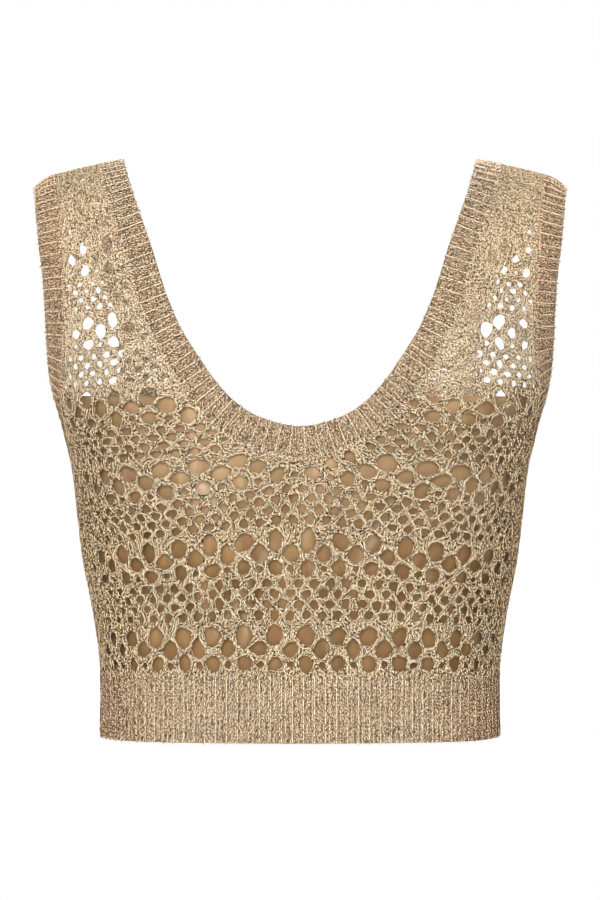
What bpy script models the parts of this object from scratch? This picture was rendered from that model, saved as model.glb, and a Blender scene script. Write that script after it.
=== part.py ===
"""Cropped openwork knit tank top, in its worn shape.

Two net panels, ribbed bands at the neck, the armholes and the hem, and a smooth lining behind the front.
Every piece is a thin wall on one body form. A place on the form is a pair (turn, travel):
  turn    the angle from the centre line, in radians, positive towards +X
  travel  the height up to the shoulder axis, and above it the way over the shoulder to its seam
Lengths are in millimetres, with the height counted from the underside of the straps, and the meshes are
written in metres. The front faces -Y.
"""
import math

import bmesh
import bpy
from mathutils import Matrix, Vector
from mathutils.geometry import delaunay_2d_cdt

METRES = 0.001
FRONT = -1
BACK = 1

# Driving sizes of the garment
HEM_TRAVEL = -361.5
HEM_BAND_HEIGHT = 42.0
SHOULDER_AXIS_HEIGHT = -58.8
SHOULDER_QUARTER_TRAVEL = 98.8
SHOULDER_SEAM_TRAVEL = SHOULDER_AXIS_HEIGHT + SHOULDER_QUARTER_TRAVEL
LINING_TOP_TRAVEL = -143.5
NECKBAND_FRONT_WIDTH = 20.0
NECKBAND_SHOULDER_WIDTH = 15.0
NECKBAND_BACK_WIDTH = 15.0
ARMBAND_UNDERARM_WIDTH = 14.0
ARMBAND_SHOULDER_WIDTH = 15.0
SEAM_GAP = 0.3
SHOULDER_SHORTFALL = 0.18

# Distances of each cloth's two faces from the form
LINING_FACES = (0.0, 1.0)
NET_FACES = (1.3, 3.1)
RIB_FACES = (0.9, 3.5)

# The form: half sections from the hem up to the shoulder seam
SQUARENESS = 2.3
SECTION_COLUMNS = ("travel", "half_width", "front_depth", "back_depth")
SECTIONS = (
    (-361.5, 125.0, 86.5, 79.5),
    (-319.5, 124.8, 87.5, 78.5),
    (-286.0, 128.7, 91.5, 80.0),
    (-248.0, 136.0, 98.0, 83.5),
    (-222.0, 139.2, 102.0, 86.5),
    (-192.0, 142.6, 103.5, 89.0),
    (-167.0, 147.8, 100.5, 90.0),
    (-145.0, 155.5, 95.5, 89.5),
    (-129.0, 163.0, 90.5, 88.0),
    (-101.0, 180.0, 82.5, 83.0),
    (-57.0, 197.0, 74.0, 75.0),
    (-8.0, 212.0, 71.8, 72.0),
    (40.0, 220.0, 71.6, 71.6),
)

# Free edges of the openings, from the centre line or the side seam up to the shoulder seam
NECK_COLUMNS = ("half_width", "travel")
NECK_FRONT = (
    (0.0, -162.7),
    (25.0, -157.0),
    (40.5, -147.4),
    (53.0, -134.0),
    (63.1, -119.4),
    (73.8, -102.3),
    (83.2, -81.0),
    (90.0, -60.0),
    (100.7, -29.0),
    (109.3, 3.0),
    (112.8, 40.0),
)
NECK_BACK = (
    (0.0, -181.0),
    (20.0, -178.5),
    (38.0, -170.5),
    (52.0, -157.0),
    (62.5, -140.0),
    (71.5, -119.0),
    (80.5, -98.0),
    (88.5, -78.0),
    (96.0, -53.0),
    (104.0, -25.0),
    (110.5, 6.0),
    (112.8, 40.0),
)
ARMHOLE_COLUMNS = ("turn_degrees", "travel")
ARMHOLE_FRONT = (
    (90.0, -167.0),
    (86.8, -162.5),
    (83.8, -146.0),
    (79.4, -129.0),
    (75.9, -114.0),
    (74.3, -97.0),
    (73.9, -74.0),
    (74.0, -48.0),
    (73.7, -20.0),
    (73.5, 10.0),
    (73.4, 40.0),
)
ARMHOLE_BACK = (
    (90.0, -167.0),
    (79.0, -163.5),
    (69.0, -153.0),
    (62.0, -137.0),
    (59.0, -117.0),
    (60.0, -97.0),
    (62.6, -77.0),
    (66.2, -52.0),
    (70.0, -23.0),
    (72.6, 8.0),
    (73.4, 40.0),
)

# Facets
NECK_STEPS = 16
ARMHOLE_STEPS = 22
HEM_STEPS = 12
SIDE_STEPS = 8
SHOULDER_STEPS = 2
BAND_ROWS = 1
HEM_ROWS = 2
PANEL_GRID = 15.5
GRID_CLEARANCE = 0.6
GRID_RADIUS = 130.0
CURVE_STEPS = 12
WALK_STEPS = 6
NUDGE = 0.001
SMOOTH_ANGLE = math.radians(50.0)

# Colours, as linear red, green and blue
NET_COLOUR = (0.45, 0.33, 0.22)
RIB_COLOUR = (0.42, 0.31, 0.20)
LINING_COLOUR = (0.31, 0.19, 0.09)
KNIT_ROUGHNESS = 0.9
LINING_ROUGHNESS = 0.75


def clear_scene():
    """Start from an empty scene."""
    for item in list(bpy.data.objects):
        bpy.data.objects.remove(item, do_unlink=True)


def cloth_material(name, colour, roughness):
    """A plain matt cloth."""
    material = bpy.data.materials.new(name)
    material.use_nodes = True
    shader = material.node_tree.nodes["Principled BSDF"]
    shader.inputs["Base Color"].default_value = (*colour, 1.0)
    shader.inputs["Roughness"].default_value = roughness
    shader.inputs["Metallic"].default_value = 0.0
    return material


def smooth_between(keys, values, key):
    """The value at a key, on a smooth curve through a table's keys and values."""
    last = len(keys) - 1
    index = 0
    while index < last - 1 and key > keys[index + 1]:
        index += 1

    def slope(row):
        low = max(row - 1, 0)
        high = min(row + 1, last)
        return (values[high] - values[low]) / (keys[high] - keys[low])

    span = keys[index + 1] - keys[index]
    part = min(max((key - keys[index]) / span, 0.0), 1.0)
    start = values[index] * (1.0 + 2.0 * part) * (1.0 - part) ** 2
    end = values[index + 1] * part ** 2 * (3.0 - 2.0 * part)
    leaving = slope(index) * span * part * (1.0 - part) ** 2
    arriving = slope(index + 1) * span * part ** 2 * (part - 1.0)
    return start + end + leaving + arriving


def column(table, names, name):
    """One column of a table, by its name."""
    index = names.index(name)
    return [row[index] for row in table]


def section(side, travel):
    """Half width and depth of the form's half section at a travel."""
    keys = column(SECTIONS, SECTION_COLUMNS, "travel")
    half_widths = column(SECTIONS, SECTION_COLUMNS, "half_width")
    depths = column(SECTIONS, SECTION_COLUMNS, "front_depth" if side == FRONT else "back_depth")
    return smooth_between(keys, half_widths, travel), smooth_between(keys, depths, travel)


def surface(side, turn, travel):
    """A point of the form."""
    half_width, depth = section(side, travel)
    across = abs(math.sin(turn)) / half_width
    forward = abs(math.cos(turn)) / depth
    radius = (across ** SQUARENESS + forward ** SQUARENESS) ** (-1.0 / SQUARENESS)
    x = radius * math.sin(turn)
    reach = radius * math.cos(turn)
    if travel <= SHOULDER_AXIS_HEIGHT:
        return Vector((x, side * reach, travel))
    roll = (travel - SHOULDER_AXIS_HEIGHT) / SHOULDER_QUARTER_TRAVEL * math.pi / 2.0
    return Vector((x, side * reach * math.cos(roll), SHOULDER_AXIS_HEIGHT + reach * math.sin(roll)))


def directions(side, turn, travel):
    """How the form's point moves with turn and with travel, and its outward normal."""
    with_turn = (surface(side, turn + NUDGE, travel) - surface(side, turn - NUDGE, travel)) / (2.0 * NUDGE)
    with_travel = (surface(side, turn, travel + NUDGE) - surface(side, turn, travel - NUDGE)) / (2.0 * NUDGE)
    normal = with_turn.cross(with_travel).normalized() * -side
    return with_turn, with_travel, normal


def lifted(side, place, lift):
    """A point at a distance outside the form."""
    return surface(side, *place) + directions(side, *place)[2] * lift


def turn_at(side, half_width, travel):
    """The turn at which the form is this far from the centre line."""
    widest, depth = section(side, travel)
    reach = depth * (1.0 - (half_width / widest) ** SQUARENESS) ** (1.0 / SQUARENESS)
    return math.atan2(half_width, reach)


def walk(side, place, heading, distance):
    """The place reached by going a distance over the form along a heading."""
    turn, travel = place
    heading = heading.normalized()
    for _ in range(WALK_STEPS):
        with_turn, with_travel, normal = directions(side, turn, travel)
        heading = (heading - normal * heading.dot(normal)).normalized()
        stride = heading * (distance / WALK_STEPS)
        system = Matrix((
            (with_turn.dot(with_turn), with_turn.dot(with_travel)),
            (with_turn.dot(with_travel), with_travel.dot(with_travel)),
        ))
        change = system.inverted() @ Vector((stride.dot(with_turn), stride.dot(with_travel)))
        turn += change[0]
        travel += change[1]
    return turn, travel


def smooth_edge(side, rows, steps):
    """A free edge as evenly spaced places, square to the seams at both ends."""
    points = [surface(side, *row) for row in rows]
    knots = [0.0]
    for before, after in zip(points, points[1:]):
        knots.append(knots[-1] + (after - before).length)
    # Rows mirrored past both ends make the curve square to the seams there
    keys = [-knots[1], *knots, 2.0 * knots[-1] - knots[-2]]
    turns = [2.0 * rows[0][0] - rows[1][0], *(row[0] for row in rows), rows[-2][0]]
    travels = [rows[1][1], *(row[1] for row in rows), 2.0 * rows[-1][1] - rows[-2][1]]
    count = (len(rows) - 1) * CURVE_STEPS
    dense = []
    for index in range(count + 1):
        key = knots[-1] * index / count
        dense.append((smooth_between(keys, turns, key), smooth_between(keys, travels, key)))
    lengths = [0.0]
    for before, after in zip(dense, dense[1:]):
        lengths.append(lengths[-1] + (surface(side, *after) - surface(side, *before)).length)
    places = []
    index = 0
    for step in range(steps + 1):
        length = lengths[-1] * step / steps
        while index < count - 1 and lengths[index + 1] < length:
            index += 1
        part = (length - lengths[index]) / (lengths[index + 1] - lengths[index])
        turn = dense[index][0] + (dense[index + 1][0] - dense[index][0]) * part
        travel = dense[index][1] + (dense[index + 1][1] - dense[index][1]) * part
        places.append((turn, travel))
    return places


def into_cloth(side, edge, cloth_side):
    """The headings from a free edge into the cloth. cloth_side is 1 at a neck and -1 at an armhole."""
    headings = []
    last = len(edge) - 1
    for index, place in enumerate(edge):
        with_turn, with_travel, normal = directions(side, *place)
        if index == 0:
            heading = -with_travel
        elif index == last:
            heading = with_turn * cloth_side
        else:
            along = surface(side, *edge[index + 1]) - surface(side, *edge[index - 1])
            heading = along.cross(normal) * (-side * cloth_side)
        headings.append(heading)
    return headings


def band_line(side, edge, headings, widths, distance_part, extra=0.0):
    """The line at a part of a band's width from its free edge, moved a little further where asked."""
    last = len(edge) - 1
    line = []
    for index, (place, heading) in enumerate(zip(edge, headings)):
        width = widths[0] + (widths[1] - widths[0]) * index / last
        line.append(walk(side, place, heading, width * distance_part + extra))
    return line


def mirrored(line):
    """A line on the other half, running the other way."""
    return [(-turn, travel) for turn, travel in reversed(line)]


def strip_triangles(lines):
    """Triangles between neighbouring lines of one length, with the places in one list."""
    places = [place for line in lines for place in line]
    length = len(lines[0])
    triangles = []
    for row in range(len(lines) - 1):
        for column in range(length - 1):
            corner = row * length + column
            above = corner + length
            triangles.append((corner, corner + 1, above + 1))
            triangles.append((corner, above + 1, above))
    return places, triangles


def wall(name, side, places, triangles, faces, material):
    """A closed wall of cloth: the triangles at both distances from the form, joined round the rim."""
    mesh = bpy.data.meshes.new(name)
    shell = bmesh.new()
    skins = []
    for lift in faces:
        skins.append([shell.verts.new(lifted(side, place, lift) * METRES) for place in places])
    edge_count = {}
    for triangle in triangles:
        shell.faces.new([skins[0][corner] for corner in triangle])
        shell.faces.new([skins[1][corner] for corner in reversed(triangle)])
        for start, end in zip(triangle, triangle[1:] + triangle[:1]):
            key = (min(start, end), max(start, end))
            edge_count[key] = edge_count.get(key, 0) + 1
    for (start, end), uses in edge_count.items():
        if uses == 1:
            shell.faces.new((skins[0][start], skins[0][end], skins[1][end], skins[1][start]))
    loose = [vertex for vertex in shell.verts if not vertex.link_faces]
    bmesh.ops.delete(shell, geom=loose, context="VERTS")
    bmesh.ops.recalc_face_normals(shell, faces=shell.faces)
    shell.to_mesh(mesh)
    shell.free()
    mesh.materials.append(material)
    mesh.shade_smooth()
    mesh.set_sharp_from_angle(angle=SMOOTH_ANGLE)
    piece = bpy.data.objects.new(name, mesh)
    bpy.context.scene.collection.objects.link(piece)
    return piece


def side_turn():
    """The turn of a half's side edge, half a seam gap short of the side seam."""
    return math.pi / 2.0 - SEAM_GAP / 2.0 / section(FRONT, HEM_TRAVEL)[0]


def square_ends(line, first_is_side):
    """A line with its ends half a gap short of the shoulder seam and, at an armhole, of the side seam."""
    line = list(line)
    line[-1] = (line[-1][0], SHOULDER_SEAM_TRAVEL - SHOULDER_SHORTFALL)
    if first_is_side:
        line[0] = (side_turn(), line[0][1])
    return line


def opening(side, rows, steps, cloth_side, widths):
    """One opening's lines: across its band from free edge to seam, and the panel's edge past the seam."""
    edge = smooth_edge(side, rows, steps)
    headings = into_cloth(side, edge, cloth_side)
    at_armhole = cloth_side == -1
    lines = []
    for row in range(BAND_ROWS + 1):
        line = band_line(side, edge, headings, widths, row / BAND_ROWS)
        lines.append(square_ends(line, at_armhole))
    panel_edge = band_line(side, edge, headings, widths, 1.0, SEAM_GAP)
    return lines, square_ends(panel_edge, at_armhole)


def neck(side):
    """The neck opening's lines on the right half."""
    table = NECK_FRONT if side == FRONT else NECK_BACK
    centre_width = NECKBAND_FRONT_WIDTH if side == FRONT else NECKBAND_BACK_WIDTH
    half_widths = column(table, NECK_COLUMNS, "half_width")
    travels = column(table, NECK_COLUMNS, "travel")
    rows = [(turn_at(side, *pair), pair[1]) for pair in zip(half_widths, travels)]
    return opening(side, rows, NECK_STEPS, 1, (centre_width, NECKBAND_SHOULDER_WIDTH))


def armhole(side):
    """The armhole's lines on the right half."""
    table = ARMHOLE_FRONT if side == FRONT else ARMHOLE_BACK
    degrees = column(table, ARMHOLE_COLUMNS, "turn_degrees")
    travels = column(table, ARMHOLE_COLUMNS, "travel")
    rows = [(math.radians(turn), travel) for turn, travel in zip(degrees, travels)]
    return opening(side, rows, ARMHOLE_STEPS, -1, (ARMBAND_UNDERARM_WIDTH, ARMBAND_SHOULDER_WIDTH))


def level_line(travel):
    """A level line on the right half, from the centre to the side seam, evenly spaced."""
    return [(side_turn() * step / HEM_STEPS, travel) for step in range(HEM_STEPS + 1)]


def straight(start, end, steps):
    """Places between two places, without its ends."""
    line = []
    for step in range(1, steps):
        part = step / steps
        line.append((start[0] + (end[0] - start[0]) * part, start[1] + (end[1] - start[1]) * part))
    return line


def half_outline(neck_edge, arm_edge):
    """A panel's outline on the right half, from the centre of the hem round to the centre of the neck."""
    hem = level_line(HEM_TRAVEL + HEM_BAND_HEIGHT + SEAM_GAP)
    side_seam = straight(hem[-1], arm_edge[0], SIDE_STEPS)
    shoulder = straight(arm_edge[-1], neck_edge[-1], SHOULDER_STEPS)
    return hem + side_seam + arm_edge + shoulder + list(reversed(neck_edge))


def with_crossings(outline, travel):
    """The outline with a place added wherever it crosses a level line, and the numbers of those places."""
    result = []
    crossings = []
    for before, after in zip(outline, outline[1:] + outline[:1]):
        result.append(before)
        if (before[1] - travel) * (after[1] - travel) < 0.0:
            part = (travel - before[1]) / (after[1] - before[1])
            crossings.append(len(result))
            result.append((before[0] + (after[0] - before[0]) * part, travel))
    return result, crossings


def flat(place):
    """A place in the plane where the panels are divided into triangles."""
    return Vector((place[0] * GRID_RADIUS, place[1]))


def inside(point, corners):
    """Whether a flat point is inside the outline."""
    odd = False
    for start, end in zip(corners, corners[1:] + corners[:1]):
        if (start.y > point.y) != (end.y > point.y):
            if point.x < start.x + (end.x - start.x) * (point.y - start.y) / (end.y - start.y):
                odd = not odd
    return odd


def clearance(point, corners):
    """The distance from a flat point to the outline."""
    nearest = math.inf
    for start, end in zip(corners, corners[1:] + corners[:1]):
        run = end - start
        part = min(max((point - start).dot(run) / run.length_squared, 0.0), 1.0)
        nearest = min(nearest, (start + run * part - point).length)
    return nearest


def grid_places(corners):
    """Places of a triangular grid inside an outline, with one row on the lining's top edge."""
    row_height = PANEL_GRID * math.sqrt(3.0) / 2.0
    lowest = math.ceil((HEM_TRAVEL - LINING_TOP_TRAVEL) / row_height)
    highest = math.floor((SHOULDER_SEAM_TRAVEL - LINING_TOP_TRAVEL) / row_height)
    reach = math.ceil(GRID_RADIUS * math.pi / 2.0 / PANEL_GRID)
    places = []
    for row in range(lowest, highest + 1):
        shift = 0.5 * (row % 2)
        for column in range(-reach - 1, reach + 1):
            point = Vector(((column + shift) * PANEL_GRID, LINING_TOP_TRAVEL + row * row_height))
            if inside(point, corners) and clearance(point, corners) > PANEL_GRID * GRID_CLEARANCE:
                places.append((point.x / GRID_RADIUS, point.y))
    return places


def panel_triangles(outline):
    """A panel's places and triangles, with a line of edges along the lining's top."""
    outline, crossings = with_crossings(outline, LINING_TOP_TRAVEL)
    corners = [flat(place) for place in outline]
    places = outline + grid_places(corners)
    borders = [(index, (index + 1) % len(outline)) for index in range(len(outline))]
    on_line = [index for index in range(len(outline), len(places))
               if abs(places[index][1] - LINING_TOP_TRAVEL) < NUDGE]
    on_line = sorted(on_line + crossings, key=lambda index: places[index][0])
    for start, end in zip(on_line, on_line[1:]):
        middle = (flat(places[start]) + flat(places[end])) / 2.0
        if inside(middle, corners):
            borders.append((start, end))
    result = delaunay_2d_cdt([flat(place) for place in places], borders, [], 1, NUDGE)
    places = [(point.x / GRID_RADIUS, point.y) for point in result[0]]
    return places, [tuple(face) for face in result[2]]


def below(places, triangles, travel):
    """The triangles that lie under a level line."""
    kept = []
    for triangle in triangles:
        middle = sum(places[corner][1] for corner in triangle) / 3.0
        if middle < travel:
            kept.append(triangle)
    return kept


def build_neckband(side, lines, material):
    """The ribbed strip along one half of the neckline, from shoulder seam to shoulder seam."""
    name = "neckband_front" if side == FRONT else "neckband_back"
    whole = [mirrored(line[1:]) + line for line in lines]
    places, triangles = strip_triangles(whole)
    wall(name, side, places, triangles, RIB_FACES, material)


def build_armbands(side, lines, material):
    """The ribbed strips along one half of each armhole, from the underarm to the shoulder seam."""
    name = "armband_front" if side == FRONT else "armband_back"
    places, triangles = strip_triangles(lines)
    other_places = [(-turn, travel) for turn, travel in places]
    wall(name + "_left", side, places, triangles, RIB_FACES, material)
    wall(name + "_right", side, other_places, triangles, RIB_FACES, material)


def build_hem_band(side, material):
    """The deep ribbed strip under one panel, from side seam to side seam."""
    name = "hem_band_front" if side == FRONT else "hem_band_back"
    lines = []
    for row in range(HEM_ROWS + 1):
        half = level_line(HEM_TRAVEL + HEM_BAND_HEIGHT * row / HEM_ROWS)
        lines.append(mirrored(half[1:]) + half)
    places, triangles = strip_triangles(lines)
    wall(name, side, places, triangles, RIB_FACES, material)


def build_half(side, net, rib, lining):
    """The front or the back: its net panel, its bands and, at the front, its lining."""
    neck_lines, neck_edge = neck(side)
    arm_lines, arm_edge = armhole(side)
    half = half_outline(neck_edge, arm_edge)
    places, triangles = panel_triangles(half + mirrored(half[1:-1]))
    name = "front_panel" if side == FRONT else "back_panel"
    wall(name, side, places, triangles, NET_FACES, net)
    if side == FRONT:
        lined = below(places, triangles, LINING_TOP_TRAVEL)
        wall("lining_front", side, places, lined, LINING_FACES, lining)
    build_neckband(side, neck_lines, rib)
    build_armbands(side, arm_lines, rib)
    build_hem_band(side, rib)


def main():
    """Build the whole top."""
    clear_scene()
    net = cloth_material("openwork_knit", NET_COLOUR, KNIT_ROUGHNESS)
    rib = cloth_material("ribbed_knit", RIB_COLOUR, KNIT_ROUGHNESS)
    lining = cloth_material("lining_jersey", LINING_COLOUR, LINING_ROUGHNESS)
    for side in (FRONT, BACK):
        build_half(side, net, rib, lining)


main()
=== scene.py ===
import math

import bpy
import numpy as np
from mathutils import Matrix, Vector


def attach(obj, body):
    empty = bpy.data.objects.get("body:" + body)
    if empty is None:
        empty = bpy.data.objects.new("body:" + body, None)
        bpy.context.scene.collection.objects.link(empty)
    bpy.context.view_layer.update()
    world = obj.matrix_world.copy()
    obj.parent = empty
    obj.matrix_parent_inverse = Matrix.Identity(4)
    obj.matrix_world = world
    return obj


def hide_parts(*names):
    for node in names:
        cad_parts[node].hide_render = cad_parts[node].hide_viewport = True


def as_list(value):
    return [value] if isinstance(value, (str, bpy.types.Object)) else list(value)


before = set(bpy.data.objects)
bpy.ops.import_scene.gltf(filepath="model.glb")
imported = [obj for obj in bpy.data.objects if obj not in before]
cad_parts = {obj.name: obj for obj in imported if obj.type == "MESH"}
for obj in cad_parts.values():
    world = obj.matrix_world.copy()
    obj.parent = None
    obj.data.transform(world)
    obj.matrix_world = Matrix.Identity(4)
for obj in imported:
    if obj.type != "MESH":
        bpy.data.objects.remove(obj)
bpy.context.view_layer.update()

print("knit tank top: frame loaded")

# lengths below are millimetres, the meshes are written in metres
mm = 0.001
front = -1
back = 1
quarterTurn = math.pi / 2
fullTurn = 2 * math.pi

# the body form under the cloth, one row for each level from the hem to the shoulder seam
# columns: travel, half width, front depth, back depth
form = {
    "levels": (
        (-361.5, 125.0, 86.5, 79.5),
        (-319.5, 124.8, 87.5, 78.5),
        (-286.0, 128.7, 91.5, 80.0),
        (-248.0, 136.0, 98.0, 83.5),
        (-222.0, 139.2, 102.0, 86.5),
        (-192.0, 142.6, 103.5, 89.0),
        (-167.0, 147.8, 100.5, 90.0),
        (-145.0, 155.5, 95.5, 89.5),
        (-129.0, 163.0, 90.5, 88.0),
        (-101.0, 180.0, 82.5, 83.0),
        (-57.0, 197.0, 74.0, 75.0),
        (-8.0, 212.0, 71.8, 72.0),
        (40.0, 220.0, 71.6, 71.6),
    ),
    "squareness": 2.3,
    "shoulderAxis": -58.8,
    "shoulderQuarter": 98.8,
    "hem": -361.5,
    "hemSeam": -319.5,
    "shoulderSeam": 40.0,
    "seamInset": 0.2,           # a net stops this far from the shoulder seam
    "liningTop": -143.5,
    # the outer corners of the straps droop
    "droop": 4.5,
    "droopFrom": 157.0,
    "droopWidth": 14.0,
    "droopMost": 1.3,
    "droopTravel": (-8.0, 18.0),
    "droopPull": 0.008,
}

# free edges of the openings
# neck columns: half width, travel; armhole columns: turn in degrees, travel
edges = {
    "neckFront": (
        (0.0, -162.7), (25.0, -157.0), (40.5, -147.4), (53.0, -134.0), (63.1, -119.4), (73.8, -102.3),
        (83.2, -81.0), (90.0, -60.0), (100.7, -29.0), (109.3, 3.0), (112.8, 40.0),
    ),
    "neckBack": (
        (0.0, -181.0), (20.0, -178.5), (38.0, -170.5), (52.0, -157.0), (62.5, -140.0), (71.5, -119.0),
        (80.5, -98.0), (88.5, -78.0), (96.0, -53.0), (104.0, -25.0), (110.5, 6.0), (112.8, 40.0),
    ),
    "armFront": (
        (90.0, -167.0), (86.8, -162.5), (83.8, -146.0), (79.4, -129.0), (75.9, -114.0), (74.3, -97.0),
        (73.9, -74.0), (74.0, -48.0), (73.7, -20.0), (73.5, 10.0), (73.4, 40.0),
    ),
    "armBack": (
        (90.0, -167.0), (79.0, -163.5), (69.0, -153.0), (62.0, -137.0), (59.0, -117.0), (60.0, -97.0),
        (62.6, -77.0), (66.2, -52.0), (70.0, -23.0), (72.6, 8.0), (73.4, 40.0),
    ),
    "neckWidths": {front: (20.0, 15.0), back: (15.0, 15.0)},   # at the centre, at the shoulder
    "armWidths": (14.0, 15.0),   # at the underarm, at the shoulder
}

# how finely lines are followed over the form
follow = {
    "nudge": 0.001,
    "stride": 2.6,
    "densePlaces": 400,
    "seamPlaces": 90,
    "seamSteps": 10,
    "seamReach": 1.25,          # in band widths
}
chartRadius = 150.0             # of the flat charts, which are turn times this, and travel


# one span of a smooth curve, from its end values and end slopes
def smoothSpan(part, span, start, end, leaving, arriving):
    rest = 1.0 - part
    return (start * (1.0 + 2.0 * part) * rest ** 2 + end * part ** 2 * (3.0 - 2.0 * part)
            + leaving * span * part * rest ** 2 + arriving * span * part ** 2 * (part - 1.0))


# a smooth curve through a table's keys and values
def smoothBetween(keys, values, at):
    keys = np.asarray(keys, float)
    values = np.asarray(values, float)
    rows = np.arange(len(keys))
    low = np.maximum(rows - 1, 0)
    high = np.minimum(rows + 1, len(keys) - 1)
    slopes = (values[high] - values[low]) / (keys[high] - keys[low])
    row = np.clip(np.searchsorted(keys, at) - 1, 0, len(keys) - 2)
    span = keys[row + 1] - keys[row]
    part = np.clip((at - keys[row]) / span, 0.0, 1.0)
    return smoothSpan(part, span, values[row], values[row + 1], slopes[row], slopes[row + 1])


def columnsOf(table):
    return [np.array(column) for column in zip(*table)]


def unit(vectors):
    return vectors / np.maximum(np.linalg.norm(vectors, axis=-1, keepdims=True), 1e-12)


# distance along a line, at each of its points
def wayAlong(line):
    return np.concatenate([[0.0], np.cumsum(np.linalg.norm(np.diff(line, axis=0), axis=1))])


# the values of a line's points, read at other distances along it
def readAlong(at, along, values):
    return np.stack([np.interp(at, along, column) for column in values.T], axis=-1)


# how far an oval reaches in a direction
def ovalReach(across, up, halfWidth, halfHeight, power):
    return ((np.abs(across) / halfWidth) ** power + (np.abs(up) / halfHeight) ** power) ** (-1.0 / power)


# a place on the cloth is its turn about the form and its travel up it
def turnTravel(places):
    return places[..., 0], places[..., 1]


def onChart(turn, travel):
    return np.stack([turn * chartRadius, travel], axis=-1)


def levelAt(side, travel):
    travels, halfWidths, frontDepths, backDepths = columnsOf(form["levels"])
    depths = frontDepths if side == front else backDepths
    return smoothBetween(travels, halfWidths, travel), smoothBetween(travels, depths, travel)


# from places to points of the form
def formPoint(side, turn, travel):
    turn = np.asarray(turn, float)
    travel = np.asarray(travel, float)
    halfWidth, depth = levelAt(side, travel)
    radius = ovalReach(np.sin(turn), np.cos(turn), halfWidth, depth, form["squareness"])
    across = radius * np.sin(turn)
    reach = radius * np.cos(turn)
    over = travel > form["shoulderAxis"]
    roll = np.where(over, (travel - form["shoulderAxis"]) / form["shoulderQuarter"] * quarterTurn, 0.0)
    height = np.where(over, form["shoulderAxis"] + reach * np.sin(roll), travel)
    first, last = form["droopTravel"]
    corner = np.clip((np.abs(across) - form["droopFrom"]) / form["droopWidth"], 0.0, form["droopMost"])
    corner = corner ** 2 * np.clip((travel - first) / (last - first), 0.0, 1.0)
    height = height - form["droop"] * corner
    across = across * (1.0 - form["droopPull"] * corner)
    return np.stack([across, side * reach * np.cos(roll), height], axis=-1)


def formFrame(side, turn, travel):
    step = follow["nudge"]
    withTurn = (formPoint(side, turn + step, travel) - formPoint(side, turn - step, travel)) / (2 * step)
    withTravel = (formPoint(side, turn, travel + step) - formPoint(side, turn, travel - step)) / (2 * step)
    normal = unit(np.cross(withTurn, withTravel)) * -side
    return withTurn, withTravel, normal


def lifted(side, turn, travel, lift):
    normal = formFrame(side, turn, travel)[2]
    return formPoint(side, turn, travel) + normal * np.asarray(lift)[..., None], normal


def turnAtWidth(side, halfWidth, travel):
    widest, depth = levelAt(side, travel)
    power = form["squareness"]
    reach = depth * (1.0 - (halfWidth / widest) ** power) ** (1.0 / power)
    return np.arctan2(halfWidth, reach)


# the sheet that gives the turn for a length of cloth, measured round the form from the centre line
arcGrid = {
    "travels": (-372.0, 60.0),
    "travelStep": 4.0,
    "turns": 260,
    "pastSide": 1.12,           # how far round it goes, in quarter turns
    "longest": 300.0,           # its columns are a millimetre apart
}


def arcSheet(side):
    travels = np.arange(*arcGrid["travels"], arcGrid["travelStep"])
    turns = np.linspace(0.0, quarterTurn * arcGrid["pastSide"], arcGrid["turns"])
    lengths = np.arange(0.0, arcGrid["longest"], 1.0)
    sheet = []
    girths = []
    for travel in travels:
        halfWidth, depth = levelAt(side, np.array(travel))
        radius = ovalReach(np.sin(turns), np.cos(turns), halfWidth, depth, form["squareness"])
        along = wayAlong(np.stack([radius * np.sin(turns), radius * np.cos(turns)], axis=-1))
        sheet.append(np.interp(lengths, along, turns))
        girths.append(np.interp(quarterTurn, turns, along))
    return {"travels": travels, "turns": np.array(sheet), "girths": np.array(girths)}


arcSheets = {front: arcSheet(front), back: arcSheet(back)}


def turnAtArc(side, arc, travel):
    turns = arcSheets[side]["turns"]
    # a little short of the last row and column
    lastRow, lastColumn = np.array(turns.shape) - 1.001
    row = np.clip((travel - arcGrid["travels"][0]) / arcGrid["travelStep"], 0.0, lastRow)
    column = np.clip(np.abs(arc), 0.0, lastColumn)
    below = row.astype(int)
    before = column.astype(int)
    rowPart = row - below
    columnPart = column - before
    low = turns[below, before] * (1 - columnPart) + turns[below, before + 1] * columnPart
    high = turns[below + 1, before] * (1 - columnPart) + turns[below + 1, before + 1] * columnPart
    return np.sign(arc) * (low * (1 - rowPart) + high * rowPart)


def girthAt(side, travel):
    return np.interp(travel, arcSheets[side]["travels"], arcSheets[side]["girths"])


# go over the form from each place along its heading, and note the places at each distance
def walkOut(side, turn, travel, heading, distances):
    heading = unit(heading)
    been = 0.0
    turns, travels = [turn], [travel]
    for distance in distances:
        steps = max(1, int(math.ceil(abs(distance - been) / follow["stride"])))
        for _ in range(steps):
            withTurn, withTravel, normal = formFrame(side, turn, travel)
            heading = unit(heading - normal * np.sum(heading * normal, axis=-1, keepdims=True))
            stride = heading * ((distance - been) / steps)
            tt = np.sum(withTurn * withTurn, axis=-1)
            tv = np.sum(withTurn * withTravel, axis=-1)
            vv = np.sum(withTravel * withTravel, axis=-1)
            st = np.sum(stride * withTurn, axis=-1)
            sv = np.sum(stride * withTravel, axis=-1)
            spread = tt * vv - tv * tv
            turn = turn + (st * vv - sv * tv) / spread
            travel = travel + (sv * tt - st * tv) / spread
        been = distance
        turns.append(turn)
        travels.append(travel)
    return np.array(turns), np.array(travels)


# a table's opening edge, as turns and travels
def openingLine(kind, side):
    first, travels = columnsOf(edges[kind + ("Front" if side == front else "Back")])
    return (np.radians(first) if kind == "arm" else turnAtWidth(side, first, travels)), travels


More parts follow.
